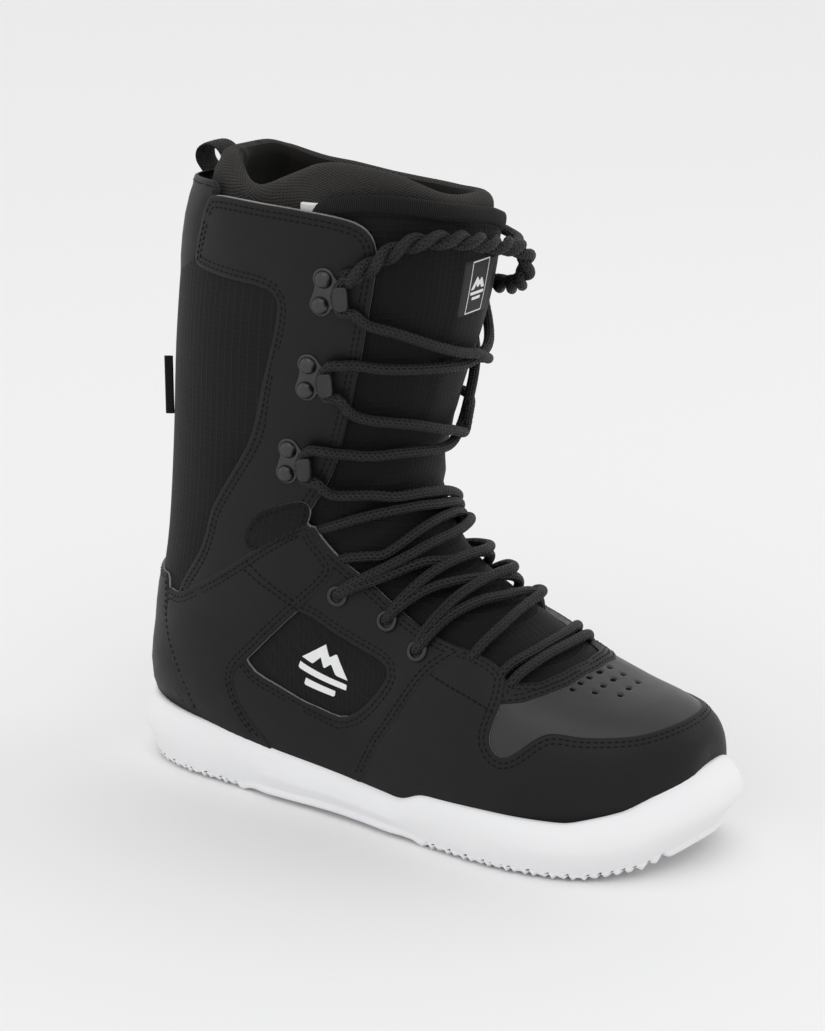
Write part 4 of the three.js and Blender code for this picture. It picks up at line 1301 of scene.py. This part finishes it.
def make_lace():
    """One braided cord per run, with strands that stand a little proud so that they cross clear."""
    build = Build()
    line, (_, side, up) = skin_line(TWIST, 1.0)
    run = np.concatenate([[0], np.cumsum(np.linalg.norm(np.diff(line, axis=0), axis=1))])
    turn = (run * FULL / TWIST_PITCH)[:, None]
    for phase in (0.0, math.pi):
        around = side * np.cos(turn + phase) + up * np.sin(turn + phase)
        braided(build, resampled(line + around * TWIST_RADIUS, LACE_STEP))
    for strand in STRANDS:
        route = smooth_line(np.array(strand, float) * [UNIT[0], UNIT[1], 1], 1.5) / [UNIT[0], UNIT[1], 1]
        line = off_skin(route[:, 0], route[:, 1], route[:, 2])
        braided(build, resampled(line, LACE_STEP))
    lace = build.make("lace", [BRAID])
    bends(lace, "cord", "lace_lower", "lace_upper")


def braided(build, line):
    """A round cord along a line: two sets of strands cross round it and stand out of it."""
    _, side, up = frames_along(line)
    turn = np.linspace(0, FULL, LACE_SIDES, endpoint=False)
    run = np.concatenate([[0], np.cumsum(np.linalg.norm(np.diff(line, axis=0), axis=1))])
    along, turn = np.meshgrid(run, turn, indexing="ij")
    left = np.sin(STRANDS_ROUND * turn + along * FULL / STRAND_PITCH)
    right = np.sin(STRANDS_ROUND * turn - along * FULL / STRAND_PITCH)
    radius = LACE_WIDTH / 2 * (1 + 0.075 * np.maximum(left, right))
    verts = (line[:, None] + (radius * np.cos(turn))[..., None] * side[:, None]
             + (radius * np.sin(turn))[..., None] * up[:, None])
    rows = len(line)
    faces = ring_faces(rows, LACE_SIDES)
    faces += [tuple(range(LACE_SIDES))[::-1], tuple((rows - 1) * LACE_SIDES + k for k in range(LACE_SIDES))]
    build.add(verts.reshape(-1, 3), faces, 0, np.stack([along.ravel() * 0.1, turn.ravel() / FULL], -1))


# ---------------------------------------------------------------- small trim
def band(build, line, width, thickness, mat=0):
    """A webbing strip whose width lies across the boot."""
    tangent = np.gradient(line, axis=0)
    tangent /= np.linalg.norm(tangent, axis=1, keepdims=True)
    side = np.tile([0.0, 1.0, 0.0], (len(line), 1))
    side -= tangent * (side * tangent).sum(1, keepdims=True)
    side /= np.linalg.norm(side, axis=1, keepdims=True)
    swept(build, line, oval(width, thickness, 18), mat, frames=(tangent, side, np.cross(tangent, side)))


def make_trim():
    build = Build()
    loop = smooth_line([(-113.5, -2, 279), (-116.5, -2, 285), (-120.5, -2.5, 291), (-120, -2.5, 296),
                        (-115.5, -2, 299.0), (-110.0, -1.5, 297.5), (-106.5, -1, 293)], 1.0)
    band(build, loop, 15, 1.5)
    rides(build.make("pull_loop", [WEBBING]), "loop", "webbing", "pull_loop")
    low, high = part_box("flag_label")
    low, high = np.array(low) / MM, np.array(high) / MM
    build = Build()
    x0, y0 = high[0] - 0.6, high[1] - 0.8
    x1, y1 = low[0] * 0.6 + high[0] * 0.4, low[1] + 0.8
    heights = np.linspace(low[2], high[2], 16)
    line = np.stack([0 * heights + (x0 + x1) / 2, 0 * heights + (y0 + y1) / 2, heights], -1)
    reach = math.hypot(x1 - x0, y1 - y0)
    way = np.array([(x1 - x0) / reach, (y1 - y0) / reach, 0])
    side = np.tile(way, (len(line), 1))
    up = np.tile(np.cross([0, 0, 1.0], way), (len(line), 1))
    swept(build, line, oval(reach, 1.1, 18), frames=(None, side, up))
    rides(build.make("flag_label", [GROSGRAIN]), "flag", "webbing", "flag_label")
    build = Build()
    skin_patch(build, (15.6, 15.9), (-1.47, -1.33), -6.4, 0.8, 0)
    rides(build.make("size_tag", [WHITE]), "shaft", "label", "size_tag")


# ---------------------------------------------------------------- stage
def make_stage():
    world = bpy.data.worlds.new("studio")
    bpy.context.scene.world = world
    world.use_nodes = True
    background = world.node_tree.nodes["Background"]
    background.inputs[0].default_value = (1, 1, 1, 1)
    background.inputs[1].default_value = 0.94
    floor = Build()
    floor.add([(-20000, -20000, 0), (20000, -20000, 0), (20000, 20000, 0), (-20000, 20000, 0)],
        [(0, 1, 2, 3)])
    n = Nodes("floor")
    n.set(Base_Color=(0.86, 0.86, 0.865, 1), Roughness=0.9)
    obj = floor.make("floor", [n.material])

    def area(name, place, aim, size, power):
        light = bpy.data.lights.new(name, "AREA")
        light.shape = "RECTANGLE"
        light.size, light.size_y = size
        light.energy = power
        lamp = bpy.data.objects.new(name, light)
        lamp.location = place
        lamp.rotation_euler = (Vector(aim) - Vector(place)).to_track_quat("-Z", "Y").to_euler()
        bpy.context.scene.collection.objects.link(lamp)

    area("key", (0.5, -0.9, 1.9), (0, 0, 0.1), (1.6, 1.2), 4.5)
    area("fill", (-1.5, -1.2, 0.9), (0, 0, 0.15), (1.2, 1.4), 1.5)
    area("rim", (1.3, 1.3, 1.2), (0, 0, 0.15), (1.0, 1.0), 2.5)


def make_camera():
    """Three quarters from the toe and the lateral side, a little above."""
    azimuth, elevation, distance = math.radians(33), math.radians(19), 1.4
    back = Vector((math.sin(azimuth) * math.cos(elevation), -math.cos(azimuth) * math.cos(elevation),
        math.sin(elevation)))
    camera = bpy.data.cameras.new("camera")
    camera.sensor_width = 36
    camera.lens = 36 * 3017 / 1031
    camera.shift_x = -14.5 / 1031
    camera.shift_y = 76.5 / 1031
    obj = bpy.data.objects.new("camera", camera)
    obj.location = Vector((0, 0, 0.1)) + back * distance
    obj.rotation_euler = (-back).to_track_quat("-Z", "Y").to_euler()
    bpy.context.scene.collection.objects.link(obj)
    bpy.context.scene.camera = obj


bpy.context.scene.view_settings.view_transform = "Standard"
make_camera()
make_stage()
make_upper()
make_tongue()
make_marks()
make_liner()
make_inner_foot()
make_sole()
make_fittings()
make_lace()
make_trim()
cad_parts["lasting_board"].data.materials.clear()
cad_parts["lasting_board"].data.materials.append(BOARD)
